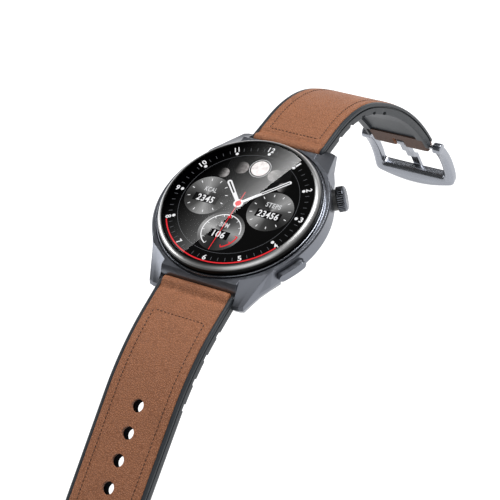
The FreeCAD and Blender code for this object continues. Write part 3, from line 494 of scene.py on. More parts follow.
def subdial_material(name, centre, turn):
    """Lit picture of a sunray-brushed disc: light fans out from the centre in two bright and two dark sectors."""
    material, tree, shader, where = new_material(name)
    local = add(tree, "ShaderNodeMapping", {"Vector": where, "Location": (-centre[0] * MM, -centre[1] * MM, 0.0)})
    spin = add(tree, "ShaderNodeMapping", {"Vector": local.outputs["Vector"],
                                           "Rotation": (0.0, 0.0, math.radians(turn))})
    fan = add(tree, "ShaderNodeTexGradient", {"Vector": spin.outputs["Vector"]}, gradient_type="RADIAL")
    rays = add(tree, "ShaderNodeValToRGB", {"Fac": fan.outputs["Fac"]}, [
        (0.0, grey(0.09)), (0.1, grey(0.02)), (0.22, grey(0.06)), (0.34, grey(0.34)), (0.46, grey(0.05)),
        (0.6, grey(0.015)), (0.74, grey(0.07)), (0.86, grey(0.33)), (1.0, grey(0.09))])
    streak = add(tree, "ShaderNodeTexNoise", {"W": fan.outputs["Fac"], "Scale": 140.0, "Detail": 2.0},
                 noise_dimensions="1D")
    mix = add(tree, "ShaderNodeMixRGB", {"Fac": 0.35, "Color1": rays.outputs["Color"],
                                         "Color2": streak.outputs["Fac"]}, blend_type="OVERLAY")
    feed(tree, shader, {**UNLIT_PANEL, "Emission Color": mix.outputs["Color"], "Emission Strength": dial().glow})
    return material


def moon_material(name, centre, radius, lit_from, lit_to, bright):
    """Lit picture of a moon: mottled grey, fading into shadow across its width as the place to the power 1.8."""
    material, tree, shader, where = new_material(name)
    local = add(tree, "ShaderNodeMapping", {"Vector": where, "Location": (-centre[0] * MM, -centre[1] * MM, 0.0)})
    split = add(tree, "ShaderNodeSeparateXYZ", {"Vector": local.outputs["Vector"]})
    across = add(tree, "ShaderNodeMapRange", {"Value": split.outputs["X"], "From Min": lit_from * radius * MM,
                                              "From Max": lit_to * radius * MM})
    # seas of about 1 mm
    seas = add(tree, "ShaderNodeTexNoise", {"Vector": where, "Scale": 900.0, "Detail": 5.0, "Roughness": 0.62})
    sea = bright * (0.5 if bright < 1 else 0.72)
    tone = add(tree, "ShaderNodeValToRGB", {"Fac": seas.outputs["Fac"]}, [
        (0.36, (sea, sea * 0.93, sea * 0.92, 1.0)), (0.56, (0.95 * bright, 0.91 * bright, 0.90 * bright, 1.0))])
    fade = add(tree, "ShaderNodeMath", {0: across.outputs["Result"], 1: 1.8}, operation="POWER")
    shadowed = add(tree, "ShaderNodeMixRGB", {"Fac": fade.outputs[0], "Color1": grey(0.002),
                                              "Color2": tone.outputs["Color"]})
    feed(tree, shader, {**UNLIT_PANEL, "Emission Color": shadowed.outputs["Color"],
                        "Emission Strength": dial().glow})
    return material


MATERIALS = {}


def finish(name):
    """The material of a finish, made the first time it is asked for."""
    makers = {
        "leather": leather_material,
        "lining": raw_leather_material,
        "rubber": rubber_material,
        "thread": thread_material,
        "glass": glass_material,
        "rim_band_gap_shade": edge_material,
        "case": lambda: metal_material("brushed_smoke_grey_steel", metal().case_colour, 0.34, 900.0),
        "polished": lambda: metal_material("polished_smoke_grey_steel", "#7D8087", 0.2, 300.0),
        "knurled": lambda: metal_material("knurled_smoke_grey_steel", "#63666D", 0.26, 300.0, edge=0.00003),
        # near-black painted shade, for the bottoms of the crown's flutes and the gap under the crown
        "groove": lambda: plain_material("painted_shade_near_black", "#101113", 0.4),
        "buckle": lambda: metal_material("satin_steel", metal().buckle_colour, 0.24, 700.0, (0.1, 3.0, 3.0)),
        "pin": lambda: metal_material("turned_steel", "#C4C6CA", 0.25, 700.0, (1.0, 40.0, 40.0)),
        "black_plastic": lambda: plain_material("moulded_black_plastic", "#1B1C1F", 0.35),
        "window": lambda: plain_material("dark_polycarbonate", "#0B0C10", 0.08),
        "board": lambda: plain_material("solder_masked_board", "#14402A", 0.4, 0.0, 300.0, 0.2),
        "chip": lambda: plain_material("moulded_chip_epoxy", "#232427", 0.5),
        "shield": lambda: plain_material("pressed_tin_plate", "#C9CACC", 0.3, 1.0),
        "foil": lambda: plain_material("battery_foil", "#A9ADB3", 0.35, 1.0, 200.0, 0.2),
        "seal": lambda: plain_material("black_nitrile", "#131315", 0.5),
        "contact": lambda: plain_material("polished_contact_steel", "#C9C6C0", 0.18, 1.0),
        "led": lambda: plain_material("green_led_lens", "#3FAE62", 0.15),
        "flex": lambda: plain_material("polyimide_film", "#A8641E", 0.35),
        "panel": lambda: plain_material("black_display_panel", "#020203", 0.25),
        "ink": ink_material,
    }
    if name not in MATERIALS:
        MATERIALS[name] = makers[name]()
    return MATERIALS[name]


NODE_FINISH = {
    "case": ["mid_case", "side_button_cap"],
    "pin": ["buckle_pin", "back_screws", "crown_stem", "crown_clip", "crown_tube", "side_button_clip",
            "motor_rotor", *(f"{half}_bar_{part}" for half in ("upper", "lower")
              for part in ("barrel", "spring", "tip_left", "tip_right"))],
    "buckle": ["buckle_tongue"],
    "black_plastic": ["back_cover", "inner_frame", "crown_pusher"],
    "window": ["sensor_window"],
    "board": ["main_board", "sensor_board"],
    "chip": ["board_chips", "sensor_photodiodes", "microphone", "speaker", "crown_switch",
             "side_button_switch"],
    "shield": ["processor_shield", "motor_can"],
    "foil": ["battery"],
    "seal": ["glass_gasket", "back_seal", "crown_oring", "side_button_oring"],
    "contact": ["charge_ring_inner", "charge_ring_outer", "charge_magnets"],
    "led": ["sensor_leds"],
    "flex": ["display_flex"],
    "panel": ["display_panel"],
}


# ---------------------------------------------------------------- strap shape

UPPER_START = 8.3
UPPER_RUNS = [(7.9, 0.0), (23.6, 37.2), (47.7, 32.8)]
UPPER_END_WIDTH = 20.6
LOWER_START = 3.0
LOWER_RUNS = [(8.9, 0.0), (23.4, 20.2), (28.0, 0.0), (33.0, 64.0), (26.7, 0.0)]
LOWER_END_WIDTH = 20.2
LOWER_TIP_R = 12.0
STRAP_WIDTH = 22.0
EYE_R = 1.45
ROLL_BACK = 40.0
LOOP_R = 1.65
FLAP_LENGTH = 7.0
FLAP_MARGIN = 1.2
PANEL_LENGTH = 16.0
PANEL_MARGIN = 2.6
PANEL_DEPTH = 0.8
RUBBER_END_GAP = 2.6
HOLE_R = 1.7
HOLE_PITCH = 7.1
FIRST_HOLE = 33.4
HOLES = 9
FIRST_GROOVE = 8.8
GROOVE_WIDTH = 1.9
GROOVE_DEPTH = 0.9
LIP_TOP = -0.22
SIDE_LINE = (-1.1, -1.62)       # heights between which a line is moulded along each edge
SIDE_LINE_DEPTH = 0.55
CORNER_R = 0.42
LOWER_LINE = 8.4                # cross stitching, from the spring bar
UPPER_LINE = 3.4
END_ANGLE = 0.75                # radians of the free end's rounding that get extra stations
ROLL_STATIONS = np.arange(-1.9, 4.0, 0.3)
VALLEY, VALLEY_WIDTH, VALLEY_DEPTH = 1.6, 0.9, 0.4      # dip in the leather behind the spring bar
SWELL, SWELL_WIDTH, SWELL_HEIGHT = -0.9, 1.3, 0.7       # and its raised roll over it
SEAM_WIDTH, SEAM_DEPTH = 0.5, 0.13
EDGE_WIDTH, EDGE_DROP = 1.6, 0.1
STITCH_HALF, STITCH_R, STITCH_SUNK = 0.4, 0.12, 0.06
NOTCH_HALF, NOTCH_ALONG, NOTCH_OUT = 1.9, (-3.4, 3.5), (-5.0, 2.0)


class StrapPath:
    """Side view of a strap half: straight runs and tangent arcs turning down from the spring bar, as arrays. A
    point is the integral of the direction (cos a, -sin a), with the angle a growing evenly along each run."""

    def __init__(self, bar, start, runs, rise, side):
        self.bar = np.array([abs(bar[1]), bar[2]])
        self.rise = rise
        self.side = side
        turn = np.radians([max(t, 1e-6) for _, t in runs])
        length = np.array([run for run, _ in runs])
        self.starts = np.concatenate([[0], np.cumsum(length)])
        self.bend = turn / length
        self.angles = math.radians(start) + np.concatenate([[0], np.cumsum(turn)])
        self.length = float(self.starts[-1])
        first = self.bar + rise * np.array([math.sin(self.angles[0]), math.cos(self.angles[0])])
        points = [first]
        for i in range(len(runs)):
            points.append(self._along(points[i], self.angles[i], self.bend[i], length[i]))
        self.points = np.array(points)

    @staticmethod
    def _along(point, angle, bend, distance):
        end = angle + bend * distance
        step = np.stack([(np.sin(end) - np.sin(angle)) / bend, (np.cos(end) - np.cos(angle)) / bend], -1)
        return point + step

    def at(self, s):
        """Point and angle on the outer face at each s; before 0 and past the end it runs straight on."""
        s = np.asarray(s, float)
        i = np.clip(np.searchsorted(self.starts, s, side="right") - 1, 0, len(self.bend) - 1)
        inside = np.clip(s, 0, self.length) - self.starts[i]
        angle = self.angles[i] + self.bend[i] * inside
        point = self._along(self.points[i], self.angles[i], self.bend[i], inside)
        over = (s - np.clip(s, 0, self.length))[..., None]
        tangent = np.stack([np.cos(angle), -np.sin(angle)], -1)
        return point + over * tangent, angle

    def roll(self, s):
        """As at(), but before 0 the face turns round the spring bar."""
        point, angle = self.at(np.maximum(s, 0))
        lean = np.minimum(s, 0) / self.rise
        angle = angle + lean
        normal = np.stack([np.sin(angle), np.cos(angle)], -1)
        rolled = self.bar + normal * self.rise
        return np.where((np.asarray(s) < 0)[..., None], rolled, point), angle

    def place(self, x, point, angle, offset):
        """3D points from a place across, a point on the path and an offset outwards."""
        y = point[..., 0] + offset * np.sin(angle)
        z = point[..., 1] + offset * np.cos(angle)
        return np.stack([x * self.side, y * self.side, z + 0 * x], -1)


def half_width(path, s, start, end):
    """Half width that narrows evenly along the strap."""
    return start + (end - start) * np.clip(np.asarray(s) / path.length, 0, 1)


def tip_limit(path, s, radius):
    """Half width allowed by the rounded free end: a circle of the tip radius."""
    reach = np.clip(np.asarray(s) - (path.length - LOWER_TIP_R), -radius, radius)
    wide = np.sqrt(np.maximum(radius ** 2 - reach ** 2, 0))
    return np.where(np.asarray(s) < path.length - LOWER_TIP_R, 1e3, wide)


def stations(start, end, step, marks=(), edge=0.1):
    """Places along the strap: even steps, and a close pair at each mark."""
    even = np.linspace(start, end, int((end - start) / step) + 1)
    pairs = [m + e for m in marks for e in (-edge, 0.0, edge)]
    return np.unique(np.round(np.concatenate([even, [p for p in pairs if start < p < end]]), 4))


def rubber_base(path, end_width, end, tip, grooves, recesses, name, body):
    """Rubber strap base: a closed cross-section with a raised lip at each side and a line moulded along each
    edge, carried along the path. The underside rises in its cross grooves and recesses."""
    leather, thick, inset = strap().leather, strap().rubber, strap().inset
    under = -(leather + thick)
    marks = [g + e for g in grooves for e in (-GROOVE_WIDTH / 2, GROOVE_WIDTH / 2)]
    marks += [m for r in recesses for m in r[:2]]
    s = stations(0, end, 0.8, marks)
    back = -EYE_R * np.cos(np.linspace(0, math.pi / 2, 9))[:-1]
    s = np.concatenate([back, s])
    if tip:
        rounding = path.length - LOWER_TIP_R * (1 - np.cos(np.linspace(END_ANGLE, 0, 16)))
        s = np.unique(np.round(np.concatenate([s, rounding]), 4))
    wide = half_width(path, s, STRAP_WIDTH / 2, end_width / 2)
    face = wide - inset
    if tip:
        wide = np.minimum(wide, tip_limit(path, s, LOWER_TIP_R))
        face = np.minimum(face, tip_limit(path, s, LOWER_TIP_R - inset))
    w, f = wide[:, None], face[:, None]
    one = np.ones_like(w)
    margins = sorted({r[3] for r in recesses}, reverse=True) or [6.0]
    half = [(0 * one, -leather), (f - 0.06, -leather), (f - 0.02, -leather + 0.04), (f + 0.02, LIP_TOP - 0.1),
            (f + 0.14, LIP_TOP), (w - CORNER_R, LIP_TOP), (w - 0.2, LIP_TOP - 0.06), (w - 0.05, LIP_TOP - 0.2),
            (w, LIP_TOP - CORNER_R), (w, SIDE_LINE[0]), (w - SIDE_LINE_DEPTH, SIDE_LINE[0] - 0.1),
            (w - SIDE_LINE_DEPTH, SIDE_LINE[1] + 0.12), (w, SIDE_LINE[1]), (w, under + CORNER_R),
            (w - 0.05, under + 0.2), (w - 0.2, under + 0.05), (w - CORNER_R, under)]
    for m in margins:
        half += [(np.minimum(m + 0.08, w - 0.5), under), (np.minimum(m - 0.08, w - 0.55), under)]
    half += [(np.minimum(2.5, w - 0.6), under), (0 * one, under)]
    x = np.concatenate([np.maximum(px + 0 * one, 0) for px, _ in half], 1)
    n = np.concatenate([pn + 0 * one for _, pn in half], 1)
    cut = sum(pulse(s, g - GROOVE_WIDTH / 2, g + GROOVE_WIDTH / 2, 0.2) for g in grooves)
    rise = cut[:, None] * GROOVE_DEPTH
    for start, stop, depth, margin in recesses:
        inside = pulse(s, start, stop, 0.2)[:, None] * (x < margin)
        rise = np.maximum(rise, inside * depth)
    n = np.maximum(n, under + rise)
    shrink = np.sqrt(np.maximum(EYE_R ** 2 - np.minimum(s, 0) ** 2, 0)) / (thick / 2)
    shrink = np.where(s < 0, shrink, 1.0)[:, None]
    middle = -path.rise
    n = middle + (n - middle) * shrink
    x = np.concatenate([x, -x[:, -2:0:-1]], 1)
    n = np.concatenate([n, n[:, -2:0:-1]], 1)
    point, angle = path.at(s)
    verts = path.place(x, point[:, None], angle[:, None], n)
    rows, columns = x.shape
    return make(name, verts.reshape(-1, 3), tube_faces(rows, columns), finish("rubber"), body)


def leather_face(path, u, point, angle, face, name, body, stitch_from, stitch_to):
    """Leather face: a closed sheet with rolled edges carried along the path. Its top swells over the spring bar,
    dips behind it and is drawn down along the stitching, each as the bell curve exp(-(distance / width)^2)."""
    leather, margin = strap().leather, strap().stitch_margin
    f = face[:, None]
    side = [(0.0, -leather), (0.0, -0.4), (-0.04, -0.22), (-0.14, -0.08), (-0.3, -0.01)]
    spread = np.linspace(0.96, -0.96, 49)
    columns_x = [f + b for b, _ in side] + [f * c for c in spread] + [-(f + b) for b, _ in side[::-1]]
    depth = [d for _, d in side] + [0.0] * len(spread) + [d for _, d in side[::-1]]
    x = np.concatenate(columns_x + [f * c for c in np.linspace(-0.8, 0.8, 9)], 1)
    n = np.array(depth + [-leather] * 9)[None, :] + 0 * x
    top = n > -0.35
    along = pulse(u, stitch_from, stitch_to, 1.0)[:, None]
    line = f - margin
    seam = np.exp(-((np.abs(x) - line) / SEAM_WIDTH) ** 2) * along
    cross = np.exp(-((u[:, None] - stitch_from) / SEAM_WIDTH) ** 2) * (np.abs(x) < line)
    valley = VALLEY_DEPTH * np.exp(-((u[:, None] - VALLEY) / VALLEY_WIDTH) ** 2)
    swell = SWELL_HEIGHT * np.exp(-((u[:, None] - SWELL) / SWELL_WIDTH) ** 2)
    edge = EDGE_DROP * np.clip((np.abs(x) - f + EDGE_WIDTH) / EDGE_WIDTH, 0, 1) ** 2
    n = np.where(top, n - SEAM_DEPTH * np.maximum(seam, cross) - valley - edge + swell, n)
    verts = path.place(x, point[:, None], angle[:, None], n)
    rows, columns = x.shape
    return make(name, verts.reshape(-1, 3), tube_faces(rows, columns), finish("leather"), body)


def punch(path, name):
    """Round cutters along the strap's middle, square to its face."""
    steps = 48
    a = np.linspace(0, TAU, steps, endpoint=False)
    s = FIRST_HOLE + HOLE_PITCH * np.arange(HOLES)
    point, angle = path.at(s)
    t, x = HOLE_R * np.cos(a), HOLE_R * np.sin(a)
    rings = []
    for depth in (-9.0, 4.0):
        y = point[:, None, 0] + t * np.cos(angle)[:, None] + depth * np.sin(angle)[:, None]
        z = point[:, None, 1] - t * np.sin(angle)[:, None] + depth * np.cos(angle)[:, None]
        rings.append(np.stack([x * path.side + 0 * y, y * path.side, z], -1))
    verts = np.stack(rings, 1).reshape(-1, 3)
    faces = []
    for i in range(HOLES):
        faces += [tuple(np.array(f) + i * 2 * steps) for f in tube_faces(2, steps)]
    return cutter(name, verts, faces)


def stitches(path, places, name, body):
    """Threads: short capsules along (s, x) steps, each sunk at both ends. places holds rows of
    (s, x, direction along s, direction across)."""
    places = np.array(places)
    ring, along = 8, 7
    t = np.linspace(-1, 1, along)
    a = np.linspace(0, TAU, ring, endpoint=False)
    girth = STITCH_R * np.sqrt(np.maximum(1 - t ** 4, 0.02))
    lift = -STITCH_SUNK - 0.1 * t ** 4
    s = places[:, 0, None, None] + t[None, :, None] * STITCH_HALF * places[:, 2, None, None]
    x = places[:, 1, None, None] + t[None, :, None] * STITCH_HALF * places[:, 3, None, None]
    s = s - girth[None, :, None] * np.cos(a) * places[:, 3, None, None]
    x = x + girth[None, :, None] * np.cos(a) * places[:, 2, None, None]
    n = lift[None, :, None] + girth[None, :, None] * np.sin(a)[None, None, :] + 0 * s
    point, angle = path.at(s)
    verts = path.place(x, point, angle, n).reshape(-1, 3)
    one = tube_faces(along, ring)
    faces = [tuple(np.array(f) + i * along * ring) for i in range(len(places)) for f in one]
    return make(name, verts, faces, finish("thread"), body)


def straight_stitches(path, start, end, end_width):
    """Places of the two long rows of stitching and of the row that joins them at the spring bar's end."""
    pitch, edge = strap().stitch_pitch, strap().inset + strap().stitch_margin
    s = np.arange(start + 0.6, end, pitch)
    line = half_width(path, s, STRAP_WIDTH / 2, end_width / 2) - edge
    places = [(a, sign * b, 1.0, 0.0) for a, b in zip(s, line) for sign in (-1, 1)]
    reach = STRAP_WIDTH / 2 - edge
    return places + [(start, b, 0.0, 1.0) for b in np.arange(-reach + 0.9, reach - 0.4, pitch)]


class WATCH_OT_lower_strap(bpy.types.Operator):
    """Builds the lower strap half: rubber base, leather face with its holes, and stitching"""
    bl_idname = "watch.lower_strap"
    bl_label = "Lower strap"

    def execute(self, context):
        settings = strap()
        rise = settings.leather + settings.rubber / 2
        path = StrapPath(hinge("lower_strap_fold"), LOWER_START, LOWER_RUNS, rise, -1)
        grooves = [FIRST_GROOVE + i * HOLE_PITCH for i in range(4)]
        base = rubber_base(path, LOWER_END_WIDTH, path.length, True, grooves, [], "lower_rubber",
                           "lower_strap")
        cut_with(base, punch(path, "punch_rubber"))
        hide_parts("lower_rubber_base")

        end = path.length - settings.inset
        u = stations(-rise * math.radians(ROLL_BACK), end, 0.7, ROLL_STATIONS)
        u = np.unique(np.concatenate([u, end - LOWER_TIP_R * (1 - np.cos(np.linspace(END_ANGLE, 0, 18)))]))
        face = half_width(path, u, STRAP_WIDTH / 2, LOWER_END_WIDTH / 2) - settings.inset
        face = np.minimum(face, tip_limit(path, u, LOWER_TIP_R - settings.inset))
        point, angle = path.roll(u)
        leather = leather_face(path, u, point, angle, face, "lower_leather", "lower_strap", LOWER_LINE,
                               end - 4)
        cut_with(leather, punch(path, "punch_leather"))
        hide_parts("lower_leather_face")

        pitch, margin = settings.stitch_pitch, settings.stitch_margin
        turn_r = LOWER_TIP_R - settings.inset - margin
        centre = path.length - LOWER_TIP_R
        places = straight_stitches(path, LOWER_LINE, centre + 3.0, LOWER_END_WIDTH)
        reach = math.acos((LOWER_END_WIDTH / 2 - settings.inset - margin) / turn_r)
        count = int((math.pi - 2 * reach) * turn_r / pitch)
        for a in np.linspace(reach, math.pi - reach, count + 1):
            places.append((centre + turn_r * math.sin(a), turn_r * math.cos(a), math.cos(a), -math.sin(a)))
        thread = stitches(path, places, "lower_thread", "lower_strap")
        return {"FINISHED"}


class WATCH_OT_upper_strap(bpy.types.Operator):
    """Builds the upper strap half: rubber base, leather folded round the buckle pin, and stitching"""
    bl_idname = "watch.upper_strap"
    bl_label = "Upper strap"

    def execute(self, context):
        settings = strap()
        leather_t = settings.leather
        rise = leather_t + settings.rubber / 2
        path = StrapPath(hinge("upper_strap_fold"), UPPER_START, UPPER_RUNS, rise, 1)
        grooves = [FIRST_GROOVE + i * HOLE_PITCH for i in range(5)]
        end_half = UPPER_END_WIDTH / 2
        flap_start = path.length - FLAP_LENGTH
        flap_depth = leather_t + settings.rubber - 2 * LOOP_R + leather_t
        recesses = [(flap_start - PANEL_LENGTH, flap_start - 0.3, PANEL_DEPTH, end_half - PANEL_MARGIN),
                    (flap_start - 0.3, path.length, flap_depth, end_half - FLAP_MARGIN + 0.2)]
        base = rubber_base(path, UPPER_END_WIDTH, path.length - RUBBER_END_GAP, False, grooves, recesses,
                           "upper_rubber", "upper_strap")
        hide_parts("upper_rubber_base")

        # the sheet runs out along the face, half way round the pin and back under the strap
        u = stations(-rise * math.radians(ROLL_BACK), path.length, 0.7, ROLL_STATIONS)
        point, angle = path.roll(u)
        pin, turn = path.at(path.length)
        pin = pin - LOOP_R * np.array([math.sin(turn), math.cos(turn)])
        bend = np.linspace(0, math.pi, 17)[1:]
        normal = np.stack([np.sin(turn + bend), np.cos(turn + bend)], -1)
        loop = pin + LOOP_R * normal
        s_back = np.linspace(path.length, flap_start, 12)[1:]
        back, back_angle = path.at(s_back)
        back = back - 2 * LOOP_R * np.stack([np.sin(back_angle), np.cos(back_angle)], -1)
        point = np.concatenate([point, loop, back])
        angle = np.concatenate([angle, turn + bend, back_angle + math.pi])
        full_u = np.concatenate([u, path.length + LOOP_R * bend,
                                 path.length + LOOP_R * math.pi + (path.length - s_back)])
        face = half_width(path, full_u, STRAP_WIDTH / 2, end_half) - settings.inset
        face = np.where(full_u > path.length + 1, np.minimum(face, end_half - FLAP_MARGIN), face)
        leather = leather_face(path, full_u, point, angle, face, "upper_leather", "upper_strap", UPPER_LINE,
                               path.length - 2.5)
        line_flap(leather, path, flap_start)
        cut_with(leather, tongue_notch(path, "notch"))
        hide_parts("upper_leather_face")

        places = straight_stitches(path, UPPER_LINE, path.length - 3.0, UPPER_END_WIDTH)
        thread = stitches(path, places, "upper_thread", "upper_strap")
        return {"FINISHED"}


def line_flap(leather, path, flap_start):
    """Gives the folded-back flap its dark lining: every face nearer the wrist than the strap's middle line."""
    centres = face_centres(leather)
    point, turn = path.at(path.length)
    y, z = centres[:, 1] - point[0], centres[:, 2] - point[1]
    away = y * math.sin(turn) + z * math.cos(turn)
    along = y * math.cos(turn) - z * math.sin(turn)
    refinish(leather, finish("lining"), (away < -LOOP_R) & (along > flap_start - path.length - 0.6))


def tongue_notch(path, name):
    """Block that clears the leather loop for the buckle tongue."""
    point, angle = path.at(path.length)
    corners = []
    for t in NOTCH_ALONG:
        for x in (-NOTCH_HALF, NOTCH_HALF):
            for n in NOTCH_OUT:
                y = point[0] + t * math.cos(angle) + n * math.sin(angle)
                z = point[1] - t * math.sin(angle) + n * math.cos(angle)
                corners.append((x * path.side, y * path.side, z))
    faces = [(0, 1, 3, 2), (4, 6, 7, 5), (0, 4, 5, 1), (2, 3, 7, 6), (0, 2, 6, 4), (1, 5, 7, 3)]
    return cutter(name, corners, faces)


# ---------------------------------------------------------------- glass, bezel, crown, buckle

GLASS_FLAT_R = 20.1
EDGE_START = 20.25
GLASS_FALL = 1.6            # from the flat down to the rim's edge
SKIRT_Z = 9.15
BEZEL_STEP = 0.5
FACE_Z = float(high("display_panel")[2])


class WATCH_OT_glass(bpy.types.Operator):
    """Builds the domed cover glass and the bezel ring as turned surfaces"""
    bl_idname = "watch.glass"
    bl_label = "Glass and bezel"

    def execute(self, context):
        edge = high("cover_glass")[0]
        top, seat = high("cover_glass")[2], low("cover_glass")[2]
        under = FACE_Z - 0.02       # bonded to the panel, so nothing shows twice
        inner = high("display_panel")[0]
        flat = GLASS_FLAT_R
        reach = edge - flat
        roll_r = (reach ** 2 + GLASS_FALL ** 2) / (2 * GLASS_FALL)
        turn = math.degrees(math.asin(reach / roll_r))
        roll = arc(flat, top - roll_r, roll_r, 90, 90 - turn, 30)
        profile = join_profile((0, under), (inner, under), (inner, SKIRT_Z), (edge, SKIRT_Z), roll[::-1],
                               (flat - 0.1, top), (flat - 0.4, top), (flat / 2, top), (0, top))
        glass = turned("domed_glass", profile, finish("glass"), 30)
        centres = face_centres(glass)
        rim = (np.hypot(centres[:, 0], centres[:, 1]) > EDGE_START) & (centres[:, 2] > SKIRT_Z + 0.01)
        refinish(glass, finish("rim_band_gap_shade"), rim)
        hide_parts("cover_glass")
        # opaque ink under the border of the glass
        profile = join_profile((inner + 0.05, seat), (edge, seat), (edge, SKIRT_Z - 0.02),
                               (edge - 0.05, SKIRT_Z + 0.05), (inner + 0.05, SKIRT_Z + 0.05))
        border = turned("border_ink", profile, finish("ink"), 30, ring=True)

        out, foot, crest = high("bezel_ring")[0], low("bezel_ring")[2], high("bezel_ring")[2]
        rim_in, rim_out = edge + 0.05, edge + 0.55
        profile = join_profile((rim_in, foot), (out, foot), (out, foot + BEZEL_STEP - 0.05),
                               (out - 0.05, foot + BEZEL_STEP), (rim_out, foot + BEZEL_STEP),
                               (rim_out, crest - 0.2), arc(rim_out - 0.2, crest - 0.2, 0.2, 0, 90, 6),
                               (rim_in + 0.08, crest), (rim_in, crest - 0.08))
        ring = turned("bezel", profile, finish("polished"), 40, ring=True)
        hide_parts("bezel_ring")
        return {"FINISHED"}


KNURL_LENGTH = 1.75
CROWN_RECESS = 0.65
FLUTE_DEPTH = 0.42
FLUTE_STEPS = 10
SLEEVE_LENGTH = 2.0


def darken_flutes(crown, middle, axis, radius, knurl):
    """Gives the bottoms of the crown's flutes a near-black finish: painted shade where light doesn't reach into
    the grooves.
    """
    offset = face_centres(crown) - middle
    reach = offset @ axis
    away = np.linalg.norm(offset - np.outer(reach, axis), axis=1)
    sunk = (reach + middle @ axis < knurl) & (away < radius - 0.12) & (away > radius - 0.5)
    refinish(crown, finish("groove"), sunk)


def round_axis(axis, origin, reach, r, a):
    """Points at a reach along a level axis and at a radius and angle round it, angle 0 lying level."""
    up = np.array([0.0, 0.0, 1.0])
    side = np.cross(up, axis)
    points = origin + reach[..., None] * axis + (r * np.cos(a))[..., None] * side
    return (points + (r * np.sin(a))[..., None] * up).reshape(-1, 3)


class WATCH_OT_crown(bpy.types.Operator):
    """Builds the fluted crown, a turned surface whose radius dips by a clipped cosine in each flute"""
    bl_idname = "watch.crown"
    bl_label = "Crown"

    def execute(self, context):
        axis = np.array(JOINTS["crown_turn"]["axis"])
        middle = hinge("crown_turn")
        verts = np.array([v.co for v in NODES["crown_knob"].data.vertices]) / MM
        reach = verts @ axis
        spread = verts - middle
        spread = spread - np.outer(spread @ axis, axis)
        radius = float(np.linalg.norm(spread, axis=1).max())
        base, face = float(reach.min()), float(reach.max())
        knurl = base + KNURL_LENGTH
        recess = base + CROWN_RECESS
        profile = join_profile((0, recess), (radius - 0.5, recess), (radius - 0.45, base), (radius - 0.25, base),
                               (radius - 0.05, base + 0.12), (radius, base + 0.25),
                               np.stack([[radius] * 4, np.linspace(base + 0.5, knurl - 0.3, 4)], -1),
                               (radius, knurl - 0.12), (radius - 0.12, knurl), (radius - 0.14, knurl + 0.1),
                               (radius - 0.06, knurl + 0.16), (radius - 0.06, knurl + 0.28),
                               (radius - 0.5, face - 0.06), (radius - 0.62, face),
                               (radius - 1.1, face - 0.04), (radius * 0.4, face - 0.02), (0, face))
        flutes = metal().crown_flutes
        steps = flutes * FLUTE_STEPS
        a = np.linspace(0, TAU, steps, endpoint=False)
        dip = np.clip(np.cos(a * flutes) * 1.5 + 0.35, 0, 1) * FLUTE_DEPTH
        cut = pulse(profile[:, 1], base - 0.5, knurl - 0.06, 0.2) * (profile[:, 0] > radius - 0.4)
        r = profile[:, 0][:, None] - cut[:, None] * dip[None, :]
        origin = middle - axis * (middle @ axis)
        verts = round_axis(axis, origin, profile[:, 1][:, None] + 0 * r, r, a)
        crown = make("fluted_crown", verts, grid_faces(len(profile), steps, close_columns=True),
                     finish("knurled"), "crown", 40)
        darken_flutes(crown, middle, axis, radius, knurl)
        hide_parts("crown_knob")
        # sleeve on the case that the crown slides over, near-black as painted shade in the gap under the crown
        foot, tip = base - SLEEVE_LENGTH, base + 0.08
        sleeve = join_profile((1.0, foot), (radius - 0.6, foot), (radius - 0.6, base), (radius - 0.7, tip),
                              (1.0, tip))
        a = a[::5]
        verts = round_axis(axis, origin, sleeve[:, 1][:, None] + 0 * a, sleeve[:, 0][:, None], a)
        tube = make("crown_sleeve", verts, grid_faces(len(sleeve), len(a), close_rows=True, close_columns=True),
                    finish("groove"), "case", 40)
        return {"FINISHED"}


BUCKLE_ANGLE = 82.5
BUCKLE_WINDOW = 15.5
BUCKLE_FRONT = 3.2
BUCKLE_BOW = 2.2
BUCKLE_CAMBER_R = 32.0
BUCKLE_ARM = 2.6
BUCKLE_GAP = 0.4
BUCKLE_THICKNESS = 2.4
BUCKLE_FLARE = 0.3           # how much wider the frame is at its front than at the pin
BUCKLE_SWELL = 0.9
BUCKLE_SQUARENESS = 0.28     # 1 would give a round section, 0 a square one
KNOB_R = 1.65


def camber(y):
    """Height of the buckle's curved middle line."""
    middle = (BUCKLE_WINDOW + BUCKLE_FRONT) / 2
    return np.sqrt(BUCKLE_CAMBER_R ** 2 - (y - middle) ** 2) - math.sqrt(BUCKLE_CAMBER_R ** 2 - middle ** 2)


def on_buckle(points):
    """Turns points across, along and outwards on the buckle into their place on the pin."""
    pin = hinge("buckle_fold")
    a = math.radians(BUCKLE_ANGLE)
    along, out = np.array([0, math.cos(a), -math.sin(a)]), np.array([0, math.sin(a), math.cos(a)])
    x, u, v = points[..., 0:1], points[..., 1:2], points[..., 2:3]
    return pin + x * np.array([1.0, 0, 0]) + u * along + v * out


